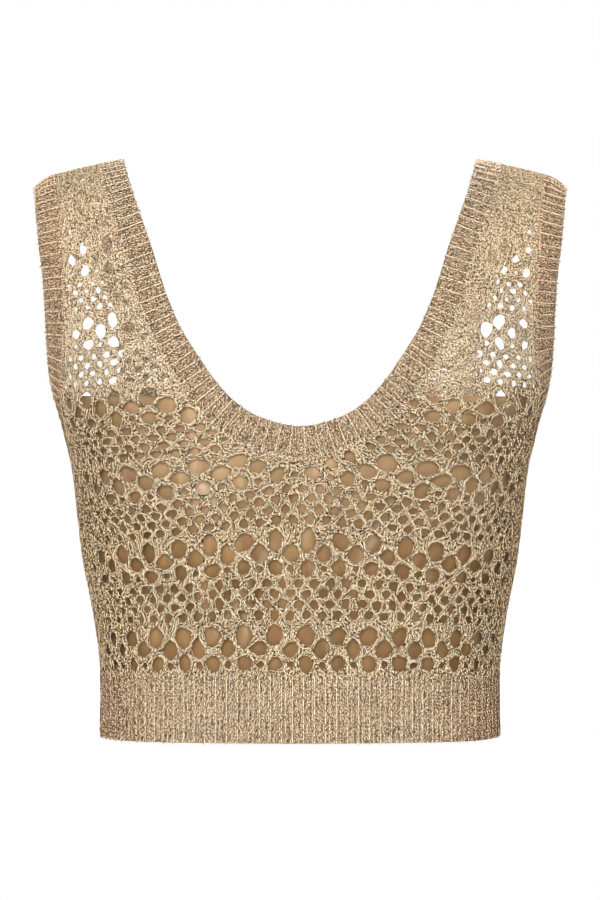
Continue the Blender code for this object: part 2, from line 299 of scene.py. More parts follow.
# a free edge as evenly spaced places and its length, square to the seams at both ends
def freeEdge(kind, side, count):
    turns, travels = openingLine(kind, side)
    knots = wayAlong(formPoint(side, turns, travels))
    keys = np.concatenate([[-knots[1]], knots, [2 * knots[-1] - knots[-2]]])
    turns = np.concatenate([[2 * turns[0] - turns[1]], turns, [turns[-2]]])
    travels = np.concatenate([[travels[1]], travels, [2 * travels[-1] - travels[-2]]])
    at = np.linspace(0.0, knots[-1], follow["densePlaces"])
    denseTurns = smoothBetween(keys, turns, at)
    denseTravels = smoothBetween(keys, travels, at)
    along = wayAlong(formPoint(side, denseTurns, denseTravels))
    even = np.linspace(0.0, along[-1], count)
    return np.interp(even, along, denseTurns), np.interp(even, along, denseTravels), along[-1]


# which way the cloth lies from each place of a free edge
def intoCloth(kind, side, turn, travel):
    clothSide = 1 if kind == "neck" else -1
    withTurn, withTravel, normal = formFrame(side, turn, travel)
    line = formPoint(side, turn, travel)
    heading = np.cross(np.gradient(line, axis=0), normal) * (-side * clothSide)
    heading[0] = -withTravel[0]
    heading[-1] = withTurn[-1] * clothSide
    return heading


def bandWidths(kind, side):
    return edges["neckWidths"][side] if kind == "neck" else edges["armWidths"]


# places in from a free edge: a row for each row of insets, a column for each place of the edge
def insetRows(kind, side, turn, travel, insets, reach, steps):
    stops = np.linspace(1.0 / steps, 1.0, steps) * reach
    ways = walkOut(side, turn, travel, intoCloth(kind, side, turn, travel), stops)
    stops = np.concatenate([[0.0], stops])
    columns = range(len(turn))
    return [np.stack([np.interp(insets[:, i], stops, way[:, i]) for i in columns], axis=-1) for way in ways]


# the line at a distance past a band's seam, into the net, on the +X half
def seamLine(kind, side, past):
    count = follow["seamPlaces"]
    turn, travel, _ = freeEdge(kind, side, count)
    widths = bandWidths(kind, side)
    insets = np.linspace(*widths, count)[None, :] + past
    reach = max(widths) * follow["seamReach"]
    turns, travels = insetRows(kind, side, turn, travel, insets, reach, follow["seamSteps"])
    travels[0, -1] = form["shoulderSeam"]
    if kind == "arm":
        turns[0, 0] = quarterTurn
    return turns[0], travels[0]


# a net panel's outline on both halves, drawn at a distance inside its seams
def panelOutline(side, past):
    armTurn, armTravel = seamLine("arm", side, past)
    neckTurn, neckTravel = seamLine("neck", side, past)
    hemTravel = form["hemSeam"] + past
    turns = np.concatenate([[0.0, quarterTurn], armTurn, neckTurn[::-1]])
    travels = np.concatenate([armTravel, neckTravel[::-1]])
    travels = np.minimum(travels, form["shoulderSeam"] - form["seamInset"])
    travels = np.concatenate([[hemTravel, hemTravel], travels])
    return np.concatenate([turns, -turns[::-1]]), np.concatenate([travels, travels[::-1]])


def insideOutline(turn, travel, outline):
    turns, travels = outline
    odd = np.zeros(turn.shape, bool)
    for i in range(len(turns)):
        j = (i + 1) % len(turns)
        if travels[i] == travels[j]:
            continue
        crosses = (travels[i] > travel) != (travels[j] > travel)
        at = turns[i] + (turns[j] - turns[i]) * (travel - travels[i]) / (travels[j] - travels[i])
        odd ^= crosses & (turn < at)
    return odd


# how far each place of the cloth is from a panel's seams
def seamDistance(side, turn, travel, outline):
    line = formPoint(side, *outline)
    points = formPoint(side, turn, travel)
    nearest = np.full(len(points), np.inf)
    for a, b in zip(line, np.roll(line, -1, axis=0)):
        run = b - a
        part = np.clip(((points - a) @ run) / max(float(run @ run), 1e-9), 0.0, 1.0)
        nearest = np.minimum(nearest, np.linalg.norm(points - a - part[:, None] * run, axis=1))
    return nearest


# one mesh from points, four-cornered and three-cornered faces,
# with a value for each point where the finish needs it, and a flat chart
def clothMesh(name, points, quads, triangles, finish, values, flat):
    mesh = bpy.data.meshes.new(name)
    quads = np.asarray(quads, np.int32).reshape(-1, 4)
    triangles = np.asarray(triangles, np.int32).reshape(-1, 3)
    corners = np.concatenate([quads.ravel(), triangles.ravel()])
    sizes = np.repeat([4, 3], [len(quads), len(triangles)])
    starts = np.concatenate([[0], np.cumsum(sizes)[:-1]]).astype(np.int32)
    mesh.vertices.add(len(points))
    mesh.vertices.foreach_set("co", (points * mm).astype(np.float32).ravel())
    mesh.loops.add(len(corners))
    mesh.loops.foreach_set("vertex_index", corners)
    mesh.polygons.add(len(sizes))
    mesh.polygons.foreach_set("loop_start", starts)
    mesh.update(calc_edges=True)
    mesh.validate()
    for label, value in values.items():
        attribute = mesh.attributes.new(label, "FLOAT", "POINT")
        attribute.data.foreach_set("value", np.asarray(value, np.float32))
    low = flat.min(axis=0)
    size = (flat.max(axis=0) - low).max()
    placed = ((flat - low) / size * 0.98 + 0.01).astype(np.float32)   # a hundredth is left free around it
    chart = mesh.uv_layers.new(name="OFBake")
    chart.data.foreach_set("uv", placed[corners].ravel())
    mesh.shade_smooth()
    mesh.materials.append(finish)
    piece = bpy.data.objects.new(name, mesh)
    bpy.context.scene.collection.objects.link(piece)
    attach(piece, "root")
    return piece


def gridIds(shape):
    return np.arange(shape[0] * shape[1]).reshape(shape)


def gridQuads(shape):
    ids = gridIds(shape)
    return np.stack([ids[:-1, :-1], ids[:-1, 1:], ids[1:, 1:], ids[1:, :-1]], axis=-1)


# a thin closed shell over a grid of places: an inner skin, an outer one, and the rim between them
def clothShell(name, side, turns, travels, lifts, finish, values):
    points = np.concatenate([lifted(side, turns, travels, lift)[0].reshape(-1, 3) for lift in lifts])
    ids = gridIds(turns.shape)
    inner = gridQuads(turns.shape).reshape(-1, 4)
    border = np.concatenate([ids[0, :-1], ids[:-1, -1], ids[-1, :0:-1], ids[:0:-1, 0]])
    after = np.roll(border, -1)
    rim = np.stack([after, border, border + ids.size, after + ids.size], axis=-1)
    quads = np.concatenate([inner, inner[:, ::-1] + ids.size, rim])
    if side == front:
        quads = quads[:, ::-1]
    flat = np.tile(onChart(turns, travels).reshape(-1, 2), (2, 1))
    return clothMesh(name, points, quads, [], finish, values, flat)


# node helpers for the finishes
def newFinish(name):
    finish = bpy.data.materials.new(name)
    finish.use_nodes = True
    return finish, finish.node_tree


# each input is a number, a row of numbers or another node's output
def addNode(tree, kind, inputs=None, **settings):
    node = tree.nodes.new("ShaderNode" + kind)
    for key, value in settings.items():
        setattr(node, key, value)
    for key, value in (inputs or {}).items():
        if isinstance(value, bpy.types.NodeSocket):
            tree.links.new(value, node.inputs[key])
        else:
            node.inputs[key].default_value = value
    return node


def objectPlace(tree):
    return addNode(tree, "TexCoord").outputs["Object"]


def pointValue(tree, name):
    return addNode(tree, "Attribute", attribute_name=name).outputs["Fac"]


def addRamp(tree, source, stops):
    ramp = addNode(tree, "ValToRGB", {"Fac": source})
    elements = ramp.color_ramp.elements
    while len(elements) < len(stops):
        elements.new(0.5)
    for element, (place, colour) in zip(elements, stops):
        element.position = place
        element.color = (*colour, 1.0)
    return ramp.outputs["Color"]


# the second colour is another node's output or a colour of its own
def addMix(tree, kind, amount, first, second):
    if isinstance(second, tuple):
        second = (*second, 1.0)
    inputs = {0: amount, 6: first, 7: second}
    return addNode(tree, "Mix", inputs, data_type="RGBA", blend_type=kind, clamp_factor=True).outputs[2]


def addMath(tree, kind, *values):
    return addNode(tree, "Math", dict(enumerate(values)), operation=kind).outputs[0]


def addNoise(tree, place, scale, detail=2.0, roughness=0.5):
    inputs = {"Vector": place, "Scale": scale, "Detail": detail, "Roughness": roughness}
    return addNode(tree, "TexNoise", inputs).outputs["Fac"]


def grey(value):
    return (value, value, value)


# the last steps of each finish: colour, a fine bump, an uneven roughness, and the shader's own numbers
def coverWith(tree, colour, grain, look):
    strength, distance = look["bump"]
    smoothest, roughest = look["roughness"]
    bump = addNode(tree, "Bump", {"Height": grain, "Strength": strength, "Distance": distance})
    rough = addNode(tree, "MapRange", {"Value": grain, "To Min": smoothest, "To Max": roughest})
    shader = tree.nodes["Principled BSDF"]
    tree.links.new(colour, shader.inputs["Base Color"])
    tree.links.new(bump.outputs["Normal"], shader.inputs["Normal"])
    tree.links.new(rough.outputs["Result"], shader.inputs["Roughness"])
    for socket, value in look["shader"].items():
        shader.inputs[socket].default_value = value


# the melange yarn: cream and brown plies, with flecks of apricot and grey-green
melange = {
    "plyContrast": 0.60,
    "apricotStops": ((0.52, grey(0.0)), (0.62, grey(0.85))),
    "sageStops": ((0.36, grey(0.8)), (0.46, grey(0.0))),
    "broadScale": 14.0,
    "broadStops": ((0.3, (0.90, 0.90, 0.90)), (0.7, (1.08, 1.07, 1.05))),
    "fuzzScale": 5200.0,
    "bump": (0.55, 0.00025),
    "roughness": (0.72, 0.95),
    "shader": {
        "Specular IOR Level": 0.25,
        "Sheen Weight": 0.10,
        "Sheen Roughness": 0.5,
        "Sheen Tint": (1.0, 0.88, 0.72, 1.0),
    },
}


def yarnFinish(name, look):
    finish, tree = newFinish(name)
    place = objectPlace(tree)
    fleck = addNoise(tree, place, look["fleckScale"], 1.0)
    shade = addMath(tree, "MULTIPLY_ADD", fleck, look["fleckContrast"], look["fleckShift"])
    # the yarn's ply tone, with painted light and painted shade added where the pieces are made
    plyAndPaintedLight = addMath(tree, "MULTIPLY", pointValue(tree, "plyAndPaintedLight"), look["plyContrast"])
    colour = addRamp(tree, addMath(tree, "ADD", shade, plyAndPaintedLight), look["stops"])
    tint = addNoise(tree, place, look["tintScale"], 1.0)
    colour = addMix(tree, "MULTIPLY", addRamp(tree, tint, look["apricotStops"]), colour, look["apricot"])
    colour = addMix(tree, "MULTIPLY", addRamp(tree, tint, look["sageStops"]), colour, look["sage"])
    # warmer where painted warm shade lies towards the side seams, and where straps and bands have a warmer
    # tone
    colour = addMix(tree, "MULTIPLY", pointValue(tree, "warm"), colour, look["warm"])
    broad = addRamp(tree, addNoise(tree, place, look["broadScale"]), look["broadStops"])
    colour = addMix(tree, "MULTIPLY", 1.0, colour, broad)
    coverWith(tree, colour, addNoise(tree, place, look["fuzzScale"], 3.0, 0.7), look)
    return finish


netYarn = yarnFinish("netYarn", {
    **melange,
    "fleckScale": 960.0,
    "fleckContrast": 6.0,
    "fleckShift": -2.71,
    "tintScale": 420.0,
    "stops": (
        (0.10, (0.052, 0.031, 0.013)),
        (0.32, (0.38, 0.235, 0.112)),
        (0.53, (0.88, 0.645, 0.375)),
        (0.74, (1.0, 0.91, 0.695)),
    ),
    "apricot": (1.0, 0.84, 0.72),
    "sage": (0.92, 0.96, 0.87),
    "warm": (1.0, 0.905, 0.80),
})

ribYarn = yarnFinish("ribYarn", {
    **melange,
    "fleckScale": 1300.0,
    "fleckContrast": 5.4,
    "fleckShift": -2.54,
    "tintScale": 300.0,
    "stops": (
        (0.10, (0.10, 0.058, 0.029)),
        (0.34, (0.43, 0.278, 0.158)),
        (0.56, (0.79, 0.592, 0.386)),
        (0.86, (1.0, 0.885, 0.695)),
    ),
    "apricot": (1.0, 0.86, 0.76),
    "sage": (0.90, 0.96, 0.86),
    "warm": (1.0, 0.90, 0.83),
})

# the bowed ground between the stitches of a band: dark outside as painted shade in the grooves, its own
# paler colour inside
ribGroundLook = {
    "fleckScale": 1120.0,
    "outside": (
        (0.38, (0.070, 0.043, 0.022)),
        (0.50, (0.27, 0.180, 0.106)),
        (0.62, (0.72, 0.555, 0.375)),
    ),
    "inside": (
        (0.36, (0.18, 0.118, 0.066)),
        (0.50, (0.58, 0.43, 0.27)),
        (0.64, (0.92, 0.76, 0.54)),
    ),
    "bump": (0.8, 0.0004),
    "roughness": (0.78, 0.96),
    "shader": {"Specular IOR Level": 0.2, "Sheen Weight": 0.15},
}


def ribGroundFinish(look):
    finish, tree = newFinish("ribGround")
    fleck = addNoise(tree, objectPlace(tree), look["fleckScale"], 1.0)
    # painted shade: the outside is darkened so the grooves read as shadow
    outside = addRamp(tree, fleck, look["outside"])
    inside = addRamp(tree, fleck, look["inside"])
    colour = addMix(tree, "MIX", pointValue(tree, "inside"), outside, inside)
    coverWith(tree, colour, fleck, look)
    return finish


ribGround = ribGroundFinish(ribGroundLook)

# smooth fine jersey of the lining
jersey = {
    # lighter and darker streaks drawn out up and down: uneven tone, partly painted shade of soft folds
    "stretch": (1.0, 1.0, 0.32),
    "broadScale": 48.0,
    "broadStops": (
        (0.34, (0.172, 0.091, 0.031)),
        (0.52, (0.225, 0.120, 0.041)),
        (0.68, (0.325, 0.188, 0.079)),
    ),
    "tintScale": 85.0,
    "tintStops": ((0.38, (0.98, 1.01, 0.93)), (0.62, (1.03, 0.985, 1.04))),
    # painted highlight on the crests of the creases
    "crest": (0.62, 0.46, 0.27),
    # painted light: it is lighter over the bust, where light falls from above, from one height in metres to
    # the other
    "paintedLightHeights": (-0.250, -0.184),
    "paintedLightStops": ((0.0, grey(1.0)), (1.0, (1.50, 1.74, 2.35))),
    "grainScale": 2600.0,
    "grainStops": ((0.3, grey(0.88)), (0.7, grey(1.08))),
    "bump": (0.35, 0.00012),
    "roughness": (0.55, 0.72),
    "shader": {"Specular IOR Level": 0.35, "Sheen Weight": 0.3, "Sheen Roughness": 0.4},
}


def jerseyFinish(look):
    finish, tree = newFinish("liningJersey")
    place = objectPlace(tree)
    stretched = addNode(tree, "Mapping", {"Vector": place, "Scale": look["stretch"]}).outputs["Vector"]
    colour = addRamp(tree, addNoise(tree, stretched, look["broadScale"], 3.0, 0.6), look["broadStops"])
    tint = addRamp(tree, addNoise(tree, place, look["tintScale"], 1.0), look["tintStops"])
    colour = addMix(tree, "MULTIPLY", 1.0, colour, tint)
    # painted highlight on the crease crests
    colour = addMix(tree, "MIX", pointValue(tree, "crest"), colour, look["crest"])
    # painted light over the bust, by height
    low, high = look["paintedLightHeights"]
    height = addNode(tree, "SeparateXYZ", {"Vector": place}).outputs["Z"]
    paintedBustLight = addNode(tree, "MapRange", {
        "Value": height, "From Min": low, "From Max": high, "To Min": 0.0, "To Max": 1.0,
    }, interpolation_type="SMOOTHSTEP").outputs["Result"]
    colour = addMix(tree, "MULTIPLY", 1.0, colour, addRamp(tree, paintedBustLight, look["paintedLightStops"]))
    grain = addNoise(tree, place, look["grainScale"], 2.0, 0.6)
    colour = addMix(tree, "MULTIPLY", 1.0, colour, addRamp(tree, grain, look["grainStops"]))
    coverWith(tree, colour, grain, look)
    return finish


liningJersey = jerseyFinish(jersey)

# the net: a plain knit lattice with eyelets pushed open in it
# a place on the lattice is (wale, rise): wales counted from the centre line, rise in pattern millimetres
net = {
    "wales": 36,                # from the centre line to the side seam
    "pastSide": 2,              # wales knitted past it, and cut off again
    "lastWale": 44.0,           # how far the lattice is followed
    "waleWidth": 5.0,
    "repeat": 60.0,
    "repeats": range(-1, 8),    # that hold eyelets
    "courseRepeats": (-0.42, 7.0),   # from the first course to the last, in repeats
    "course": 60.0 / 18,
    "loopSway": 1.0,
    "loopHeight": 2.45,
    "loopDepth": 0.42,
    "midLift": 2.25,
    "yarnRadius": 0.40,
    "samples": 26,              # along each stitch before the yarn is made
    "twist": math.radians(41),
    "twistStart": 1.7,          # from each yarn to the next
    "plies": (1.0, 0.75, 0.30),
    "underBand": 1.3,           # how far the net runs under the bands
    "stride": {front: 1.38, back: 2.05},
    "shortest": 4.0,
    "longestStep": 1.5,
    # how far the yarns stray to and fro, at what paces, how far in and out, and how far each one sits off
    "shiver": 0.24,
    "shiverPaces": (4.2, 10.5),
    "liftShiver": 0.10,
    "liftSpread": 0.08,
    # slow wander of the lattice: slowest and fastest wave, how far sideways, how far up
    "wander": ((0.08, 0.55, 0.035, 0.15), (0.9, 2.3, 0.022, 0.10)),
    "wanderWaves": 6,
    "wanderSlants": (0.23, 0.3),
    # light and dark along a yarn: darkest and lightest ring, slow waves, and how much yarns differ
    "mottle": (-0.46, 0.26),
    "slowPaces": (0.25, 0.9),
    "slowDepth": 0.13,
    "yarnSpread": 0.10,
    # columns: rise, first wale, wales to the next, half width, half height, reach across, reach up
    "eyelets": (
        (0.6, -1, 4, 5.0, 5.8, 8.6, 8.6),
        (8.5, 1, 4, 5.4, 7.0, 9.2, 9.7),
        (21.5, 1, 2, 2.85, 3.0, 5.0, 5.4),
        (28.3, 0, 2, 2.85, 3.0, 5.0, 5.4),
        (35.1, 1, 2, 2.85, 3.0, 5.0, 5.4),
        (41.4, 0, 2, 2.85, 3.0, 5.0, 5.4),
        (50.4, -1, 4, 2.1, 2.0, 4.4, 4.2),
        (51.4, 1, 4, 4.4, 5.1, 8.0, 8.0),
    ),
    # for eyelets on every second and every fourth wale: how far out they go, how square they are
    "eyeletKinds": {2: (40, 1.5), 4: (48, 1.8)},
    # how much eyelets differ in size, place and outline
    "sizes": (-1.0, 0.8),
    "slip": 0.45,
    "stretch": 0.13,
    "skews": (0.03, 0.11),
    "skewUneven": 3.0,
    "skewWaves": ((2, 1.0), (3, 0.7)),
    # an eyelet by a seam is smaller, or closed: how far inside the seams the outline is drawn,
    # room kept there and round the eyelet, least share, least size
    "outlineInset": 0.3,
    "seamRoom": 1.2,
    "eyeletRoom": 0.6,
    "leastShare": 0.45,
    "leastSize": 0.3,
    # the zone that an eyelet pushes on: its squareness, and how much of it the hole may take
    "zonePower": 1.5,
    "zoneShare": 0.93,
    "zoneMargin": 1.0,
    # height of each repeat: repeat, travel at the centre, at wale 8, at wale 20, at the side seam
    "riseWales": (0.0, 8.0, 20.0, 36.0),
    "rises": (
        (-1, -363.0, -363.0, -364.0, -365.0),
        (0, -302.4, -302.4, -303.8, -305.0),
        (1, -242.1, -243.0, -249.5, -253.0),
        (2, -184.0, -191.5, -200.0, -204.0),
        (3, -141.0, -147.5, -151.5, -157.0),
        (4, -88.0, -94.0, -102.4, -108.0),
        (5, -40.0, -46.0, -55.9, -62.0),
        (6, 20.0, 14.0, 4.8, -2.0),
        (7, 75.0, 68.0, 60.0, 52.0),
    ),
    # where the wales run: travel, share of the half girth at wale 8, 16, 24 and 36
    "runWales": (0.0, 8.0, 16.0, 24.0, 36.0),
    "runs": {
        front: (
            (-365.0, 0.222, 0.444, 0.667, 1.0),
            (-315.0, 0.226, 0.449, 0.671, 1.0),
            (-235.0, 0.210, 0.428, 0.650, 1.0),
            (-190.0, 0.229, 0.488, 0.705, 1.0),
            (-149.0, 0.255, 0.505, 0.725, 1.0),
            (-100.0, 0.257, 0.478, 0.640, 0.871),
            (-56.0, 0.254, 0.473, 0.619, 0.823),
            (0.0, 0.248, 0.459, 0.593, 0.785),
            (45.0, 0.244, 0.448, 0.580, 0.764),
        ),
        back: (
            (-365.0, 0.222, 0.444, 0.667, 1.0),
            (-195.0, 0.224, 0.446, 0.668, 1.0),
            (-149.0, 0.228, 0.450, 0.665, 0.97),
            (-100.0, 0.240, 0.460, 0.640, 0.871),
            (-56.0, 0.250, 0.470, 0.619, 0.823),
            (0.0, 0.248, 0.459, 0.593, 0.785),
            (45.0, 0.244, 0.448, 0.580, 0.764),
        ),
    },
    # how far the middle wale strays from the middle of the front: travel, distance
    "strays": ((-320.0, -0.5), (-293.0, -1.3), (-235.0, 0.0), (-190.0, 2.4), (-149.0, 0.5), (-60.0, 0.0)),
    # eyelets shrink towards the side seams: wales, sizes
    "sideShrink": ((18.0, 23.0, 28.0, 34.0), (1.0, 0.84, 0.60, 0.44)),
    # and in the straps: travel, every fourth wale's, every second wale's, how uneven they are
    "shrinks": (
        (-160.0, 1.0, 1.0, 0.10),
        (-135.0, 0.92, 0.92, 0.14),
        (-100.0, 0.88, 0.86, 0.28),
        (-60.0, 0.84, 0.80, 0.32),
        (-25.0, 0.74, 0.68, 0.36),
        (20.0, 0.62, 0.54, 0.36),
        (30.0, 0.46, 0.40, 0.30),
    ),
}

# the close stitches behind the open ones: painted dark over the lining as painted shade in the gaps, painted
# pale as painted light where daylight would come through, and on the inside the loops' reverse along the
# lines that the yarns follow outside
netGroundLook = {
    "fleckScale": 930.0,
    "paintedGapShade": (
        (0.40, (0.036, 0.023, 0.011)),
        (0.49, (0.160, 0.103, 0.055)),
        (0.59, (0.62, 0.440, 0.250)),
    ),
    "paintedGapLight": (
        (0.36, (0.19, 0.13, 0.085)),
        (0.50, (0.62, 0.475, 0.350)),
        (0.62, (1.0, 0.82, 0.65)),
    ),
    "reverse": (
        (0.36, (0.16, 0.105, 0.058)),
        (0.50, (0.52, 0.385, 0.24)),
        (0.64, (0.86, 0.70, 0.49)),
    ),
    "loopStops": ((0.40, grey(0.0)), (0.72, grey(1.0))),
    "bump": (0.8, 0.0004),
    "roughness": (0.80, 0.97),
    "shader": {"Specular IOR Level": 0.15, "Sheen Weight": 0.1},
}


def netGroundFinish(look):
    finish, tree = newFinish("netGround")
    fleck = addNoise(tree, objectPlace(tree), look["fleckScale"], 1.0)
    paintedGapShade = addRamp(tree, fleck, look["paintedGapShade"])
    paintedGapLight = addRamp(tree, fleck, look["paintedGapLight"])
    reverse = addRamp(tree, fleck, look["reverse"])
    # painted shade in the gaps over the lining, painted light in them above it
    colour = addMix(tree, "MIX", pointValue(tree, "paintedLightShare"), paintedGapShade, paintedGapLight)
    # a course of yarn is where the rise and the loops' bow together make a whole number of courses
    height = net["loopHeight"]
    turnEach = fullTurn / net["course"]
    bow = addMath(tree, "COSINE", addMath(tree, "MULTIPLY", pointValue(tree, "wale"), fullTurn))
    onYarn = addMath(tree, "ADD", pointValue(tree, "rise"), addMath(tree, "MULTIPLY", bow, height))
    wave = addMath(tree, "COSINE", addMath(tree, "MULTIPLY_ADD", onYarn, turnEach, -height * turnEach))
    loop = addMath(tree, "MULTIPLY_ADD", wave, 0.5, 0.5)
    colour = addMix(tree, "MIX", addRamp(tree, loop, look["loopStops"]), colour, reverse)
    coverWith(tree, colour, fleck, look)
    return finish


netGround = netGroundFinish(netGroundLook)
print("finishes made")


# a smooth blend over columns that hold arrays, level at the centre line, or odd about it
def blendColumns(keys, columns, at, odd=False):
    keys = [-keys[1], *keys]
    columns = [columns[1] * (-1.0 if odd else 1.0), *columns]
    last = len(keys) - 1
    slopes = []
    for i in range(len(keys)):
        low = max(i - 1, 0)
        high = min(i + 1, last)
        slopes.append((columns[high] - columns[low]) / (keys[high] - keys[low]))
    result = columns[last] + slopes[last] * (at - keys[last])
    for i in range(1, last):
        inside = (at >= keys[i]) & (at < keys[i + 1])
        span = keys[i + 1] - keys[i]
        value = smoothSpan((at - keys[i]) / span, span, columns[i], columns[i + 1], slopes[i], slopes[i + 1])
        result = np.where(inside, value, result)
    return result


# from the lattice to the form
def netPlace(side, wale, rise):
    away = np.abs(wale)
    at = np.clip(away, 0.0, net["lastWale"])
    repeats, *columns = columnsOf(net["rises"])
    rises = [smoothBetween(repeats, column, rise / net["repeat"]) for column in columns]
    travel = blendColumns(net["riseWales"], rises, at)
    travels, *columns = columnsOf(net["runs"][side])
    shares = [np.zeros_like(travel)] + [smoothBetween(travels, column, travel) for column in columns]
    share = blendColumns(net["runWales"], shares, at, odd=True)
    arc = np.sign(wale) * share * girthAt(side, travel)
    if side == front:
        stray = smoothBetween(*columnsOf(net["strays"]), travel)
        arc += stray * np.clip(1.0 - away / net["wales"], 0.0, 1.0)
    return turnAtArc(side, arc, travel), travel


# every row of eyelets, with each eyelet's own size and place
def eyeletRows(side, seed):
    random = np.random.default_rng(seed)
    outline = panelOutline(side, net["outlineInset"])
    travels, fourth, second, uneven = columnsOf(net["shrinks"])
    rows = []
    for repeat in net["repeats"]:
        for rise, first, step, halfWidth, halfHeight, across, up in net["eyelets"]:
            outermost, power = net["eyeletKinds"][step]
            wales = np.arange(first - outermost, first + outermost + 1, step).astype(float)
            count = len(wales)
            height = rise + repeat * net["repeat"]
            turn, travel = netPlace(side, wales, np.full(count, height))
            scale = np.interp(travel, travels, fourth if step == 4 else second)
            scale = scale * np.interp(np.abs(wales), *net["sideShrink"])
            unevenness = np.interp(travel, travels, uneven)
            size = scale * (1.0 + random.uniform(*net["sizes"], count) * unevenness)
            slip = random.uniform(-net["slip"], net["slip"], (count, 2))
            room = seamDistance(side, turn, travel, outline)
            room = np.where(insideOutline(turn, travel, outline), room, 0.0)
            need = 0.5 * (halfWidth + halfHeight) + net["eyeletRoom"]
            fits = np.clip((room - net["seamRoom"]) / need, 0.0, 1.0)
            opened = (fits > net["leastShare"]) & (size > net["leastSize"])
            stretch = random.uniform(-net["stretch"], net["stretch"], count)
            skew = random.uniform(*net["skews"], (count, 2))
            skew = skew * (1.0 + net["skewUneven"] * unevenness)[:, None]
            rows.append({
                "height": height,
                "first": wales[0],
                "step": step,
                "size": np.where(opened, size * fits, 0.0),
                "slip": slip,
                "stretch": stretch,
                "skew": skew,
                "power": power,
                "phase": random.uniform(0.0, fullTurn, (count, 2)),
                "half": (halfWidth, halfHeight),
                "reach": (across, up),
            })
    return rows


# the rim of an eyelet in a direction: an uneven rounded lozenge
def eyeletRim(row, number, direction):
    across, up = direction.T
    stretch = row["stretch"][number]
    halfWidth = row["half"][0] * (1.0 + stretch)
    halfHeight = row["half"][1] * (1.0 - stretch)
    rim = ovalReach(across, up, halfWidth, halfHeight, row["power"])
    angle = np.arctan2(up, across)
    for i, (waves, share) in enumerate(net["skewWaves"]):
        rim = rim * (1.0 + row["skew"][number, i] * share * np.sin(waves * angle + row["phase"][number, i]))
    return rim * row["size"][number]


# push the lattice out of its eyelets, most at their middles, and then clear what is still in one
def openEyelets(rows, wale, rise):
    moved = np.stack([wale * net["waleWidth"], rise], axis=-1)
    for clearing in (False, True):
        base = moved.copy()
        for row in rows:
            index = np.nonzero(np.abs(base[:, 1] - row["height"]) < row["reach"][1] + net["zoneMargin"])[0]
            if len(index) == 0:
                continue
            number = np.round((base[index, 0] / net["waleWidth"] - row["first"]) / row["step"]).astype(int)
            number = np.clip(number, 0, len(row["size"]) - 1)
            middle = (row["first"] + number * row["step"]) * net["waleWidth"]
            centre = np.stack([middle, np.full(len(index), row["height"])], axis=-1) + row["slip"][number]
            offset = base[index] - centre
            distance = np.maximum(np.linalg.norm(offset, axis=1), 1e-4)
            direction = offset / distance[:, None]
            hole = eyeletRim(row, number, direction)
            opened = row["size"][number] > 0
            if clearing:
                inside = (distance < hole) & opened
                moved[index[inside]] = centre[inside] + direction[inside] * hole[inside, None]
                continue
            zone = ovalReach(*direction.T, *row["reach"], net["zonePower"])
            hole = np.minimum(hole, zone * net["zoneShare"])
            inside = (distance < zone) & opened
            push = hole * (1.0 - distance / zone)
            moved[index[inside]] += direction[inside] * push[inside, None]
    return moved[:, 0] / net["waleWidth"], moved[:, 1]


# slow wander of the lattice, so that no two stitches match
def wander(wale, rise, seed):
    random = np.random.default_rng(seed)
    across = np.zeros_like(wale)
    up = np.zeros_like(wale)
    acrossSlant, upSlant = net["wanderSlants"]
    for slowest, fastest, sideways, upward in net["wander"]:
        for _ in range(net["wanderWaves"]):
            a, b = random.uniform(slowest, fastest, 2)
            p, q = random.uniform(0, fullTurn, 2)
            sign = random.choice((-1.0, 1.0))
            across += np.sin(wale * a + rise * b * acrossSlant * sign + p) * sideways
            up += np.sin(wale * b * sign + rise * a * upSlant + q) * upward
    return wale + across, rise + up


# painted light and shade on the yarns: painted shade, darker and warmer, towards the side seams, and painted
# light towards the shoulders; the straps also have a warmer tone
paintedLightAndTone = {
    "paintedSideShade": 0.36,
    "sideTurn": (0.75, 1.40),
    "sideTravel": (-130.0, -160.0),
    # painted light: lighter towards the shoulders, where light falls from above
    "topLight": 0.44,
    "topTravel": (-40.0, 25.0),
    "strapWarmth": 0.7,
    "strapTravel": (-100.0, -50.0),
}


# how far a place lies in the painted shade towards the side seams
def sideShare(turn, travel):
    aside = np.interp(np.abs(turn), paintedLightAndTone["sideTurn"], (0.0, 1.0))
    low = np.interp(-travel, [-v for v in paintedLightAndTone["sideTravel"]], (0.0, 1.0))
    return aside * aside * (3.0 - 2.0 * aside) * low


# painted light towards the shoulders, less the painted shade towards the side seams
def paintedLightAndShade(turn, travel, paintedSideShadeWeight=1.0):
    top = paintedLightAndTone["topLight"] * np.interp(travel, paintedLightAndTone["topTravel"], (0.0, 1.0))
    return top - paintedSideShadeWeight * paintedLightAndTone["paintedSideShade"] * sideShare(turn, travel)


# painted warm shade towards the side seams, or the straps' warmer tone, whichever is more
def warmthOf(turn, travel):
    strap = paintedLightAndTone["strapWarmth"] * np.interp(travel, paintedLightAndTone["strapTravel"], (0.0, 1.0))
    return np.maximum(sideShare(turn, travel), strap)


# places across a line on the flat chart
def beside(chart, offset):
    along = unit(np.gradient(chart, axis=0))
    across = np.stack([-along[:, 1], along[:, 0]], axis=-1)
    return chart[:, None, :] + across[:, None, :] * offset[..., None]


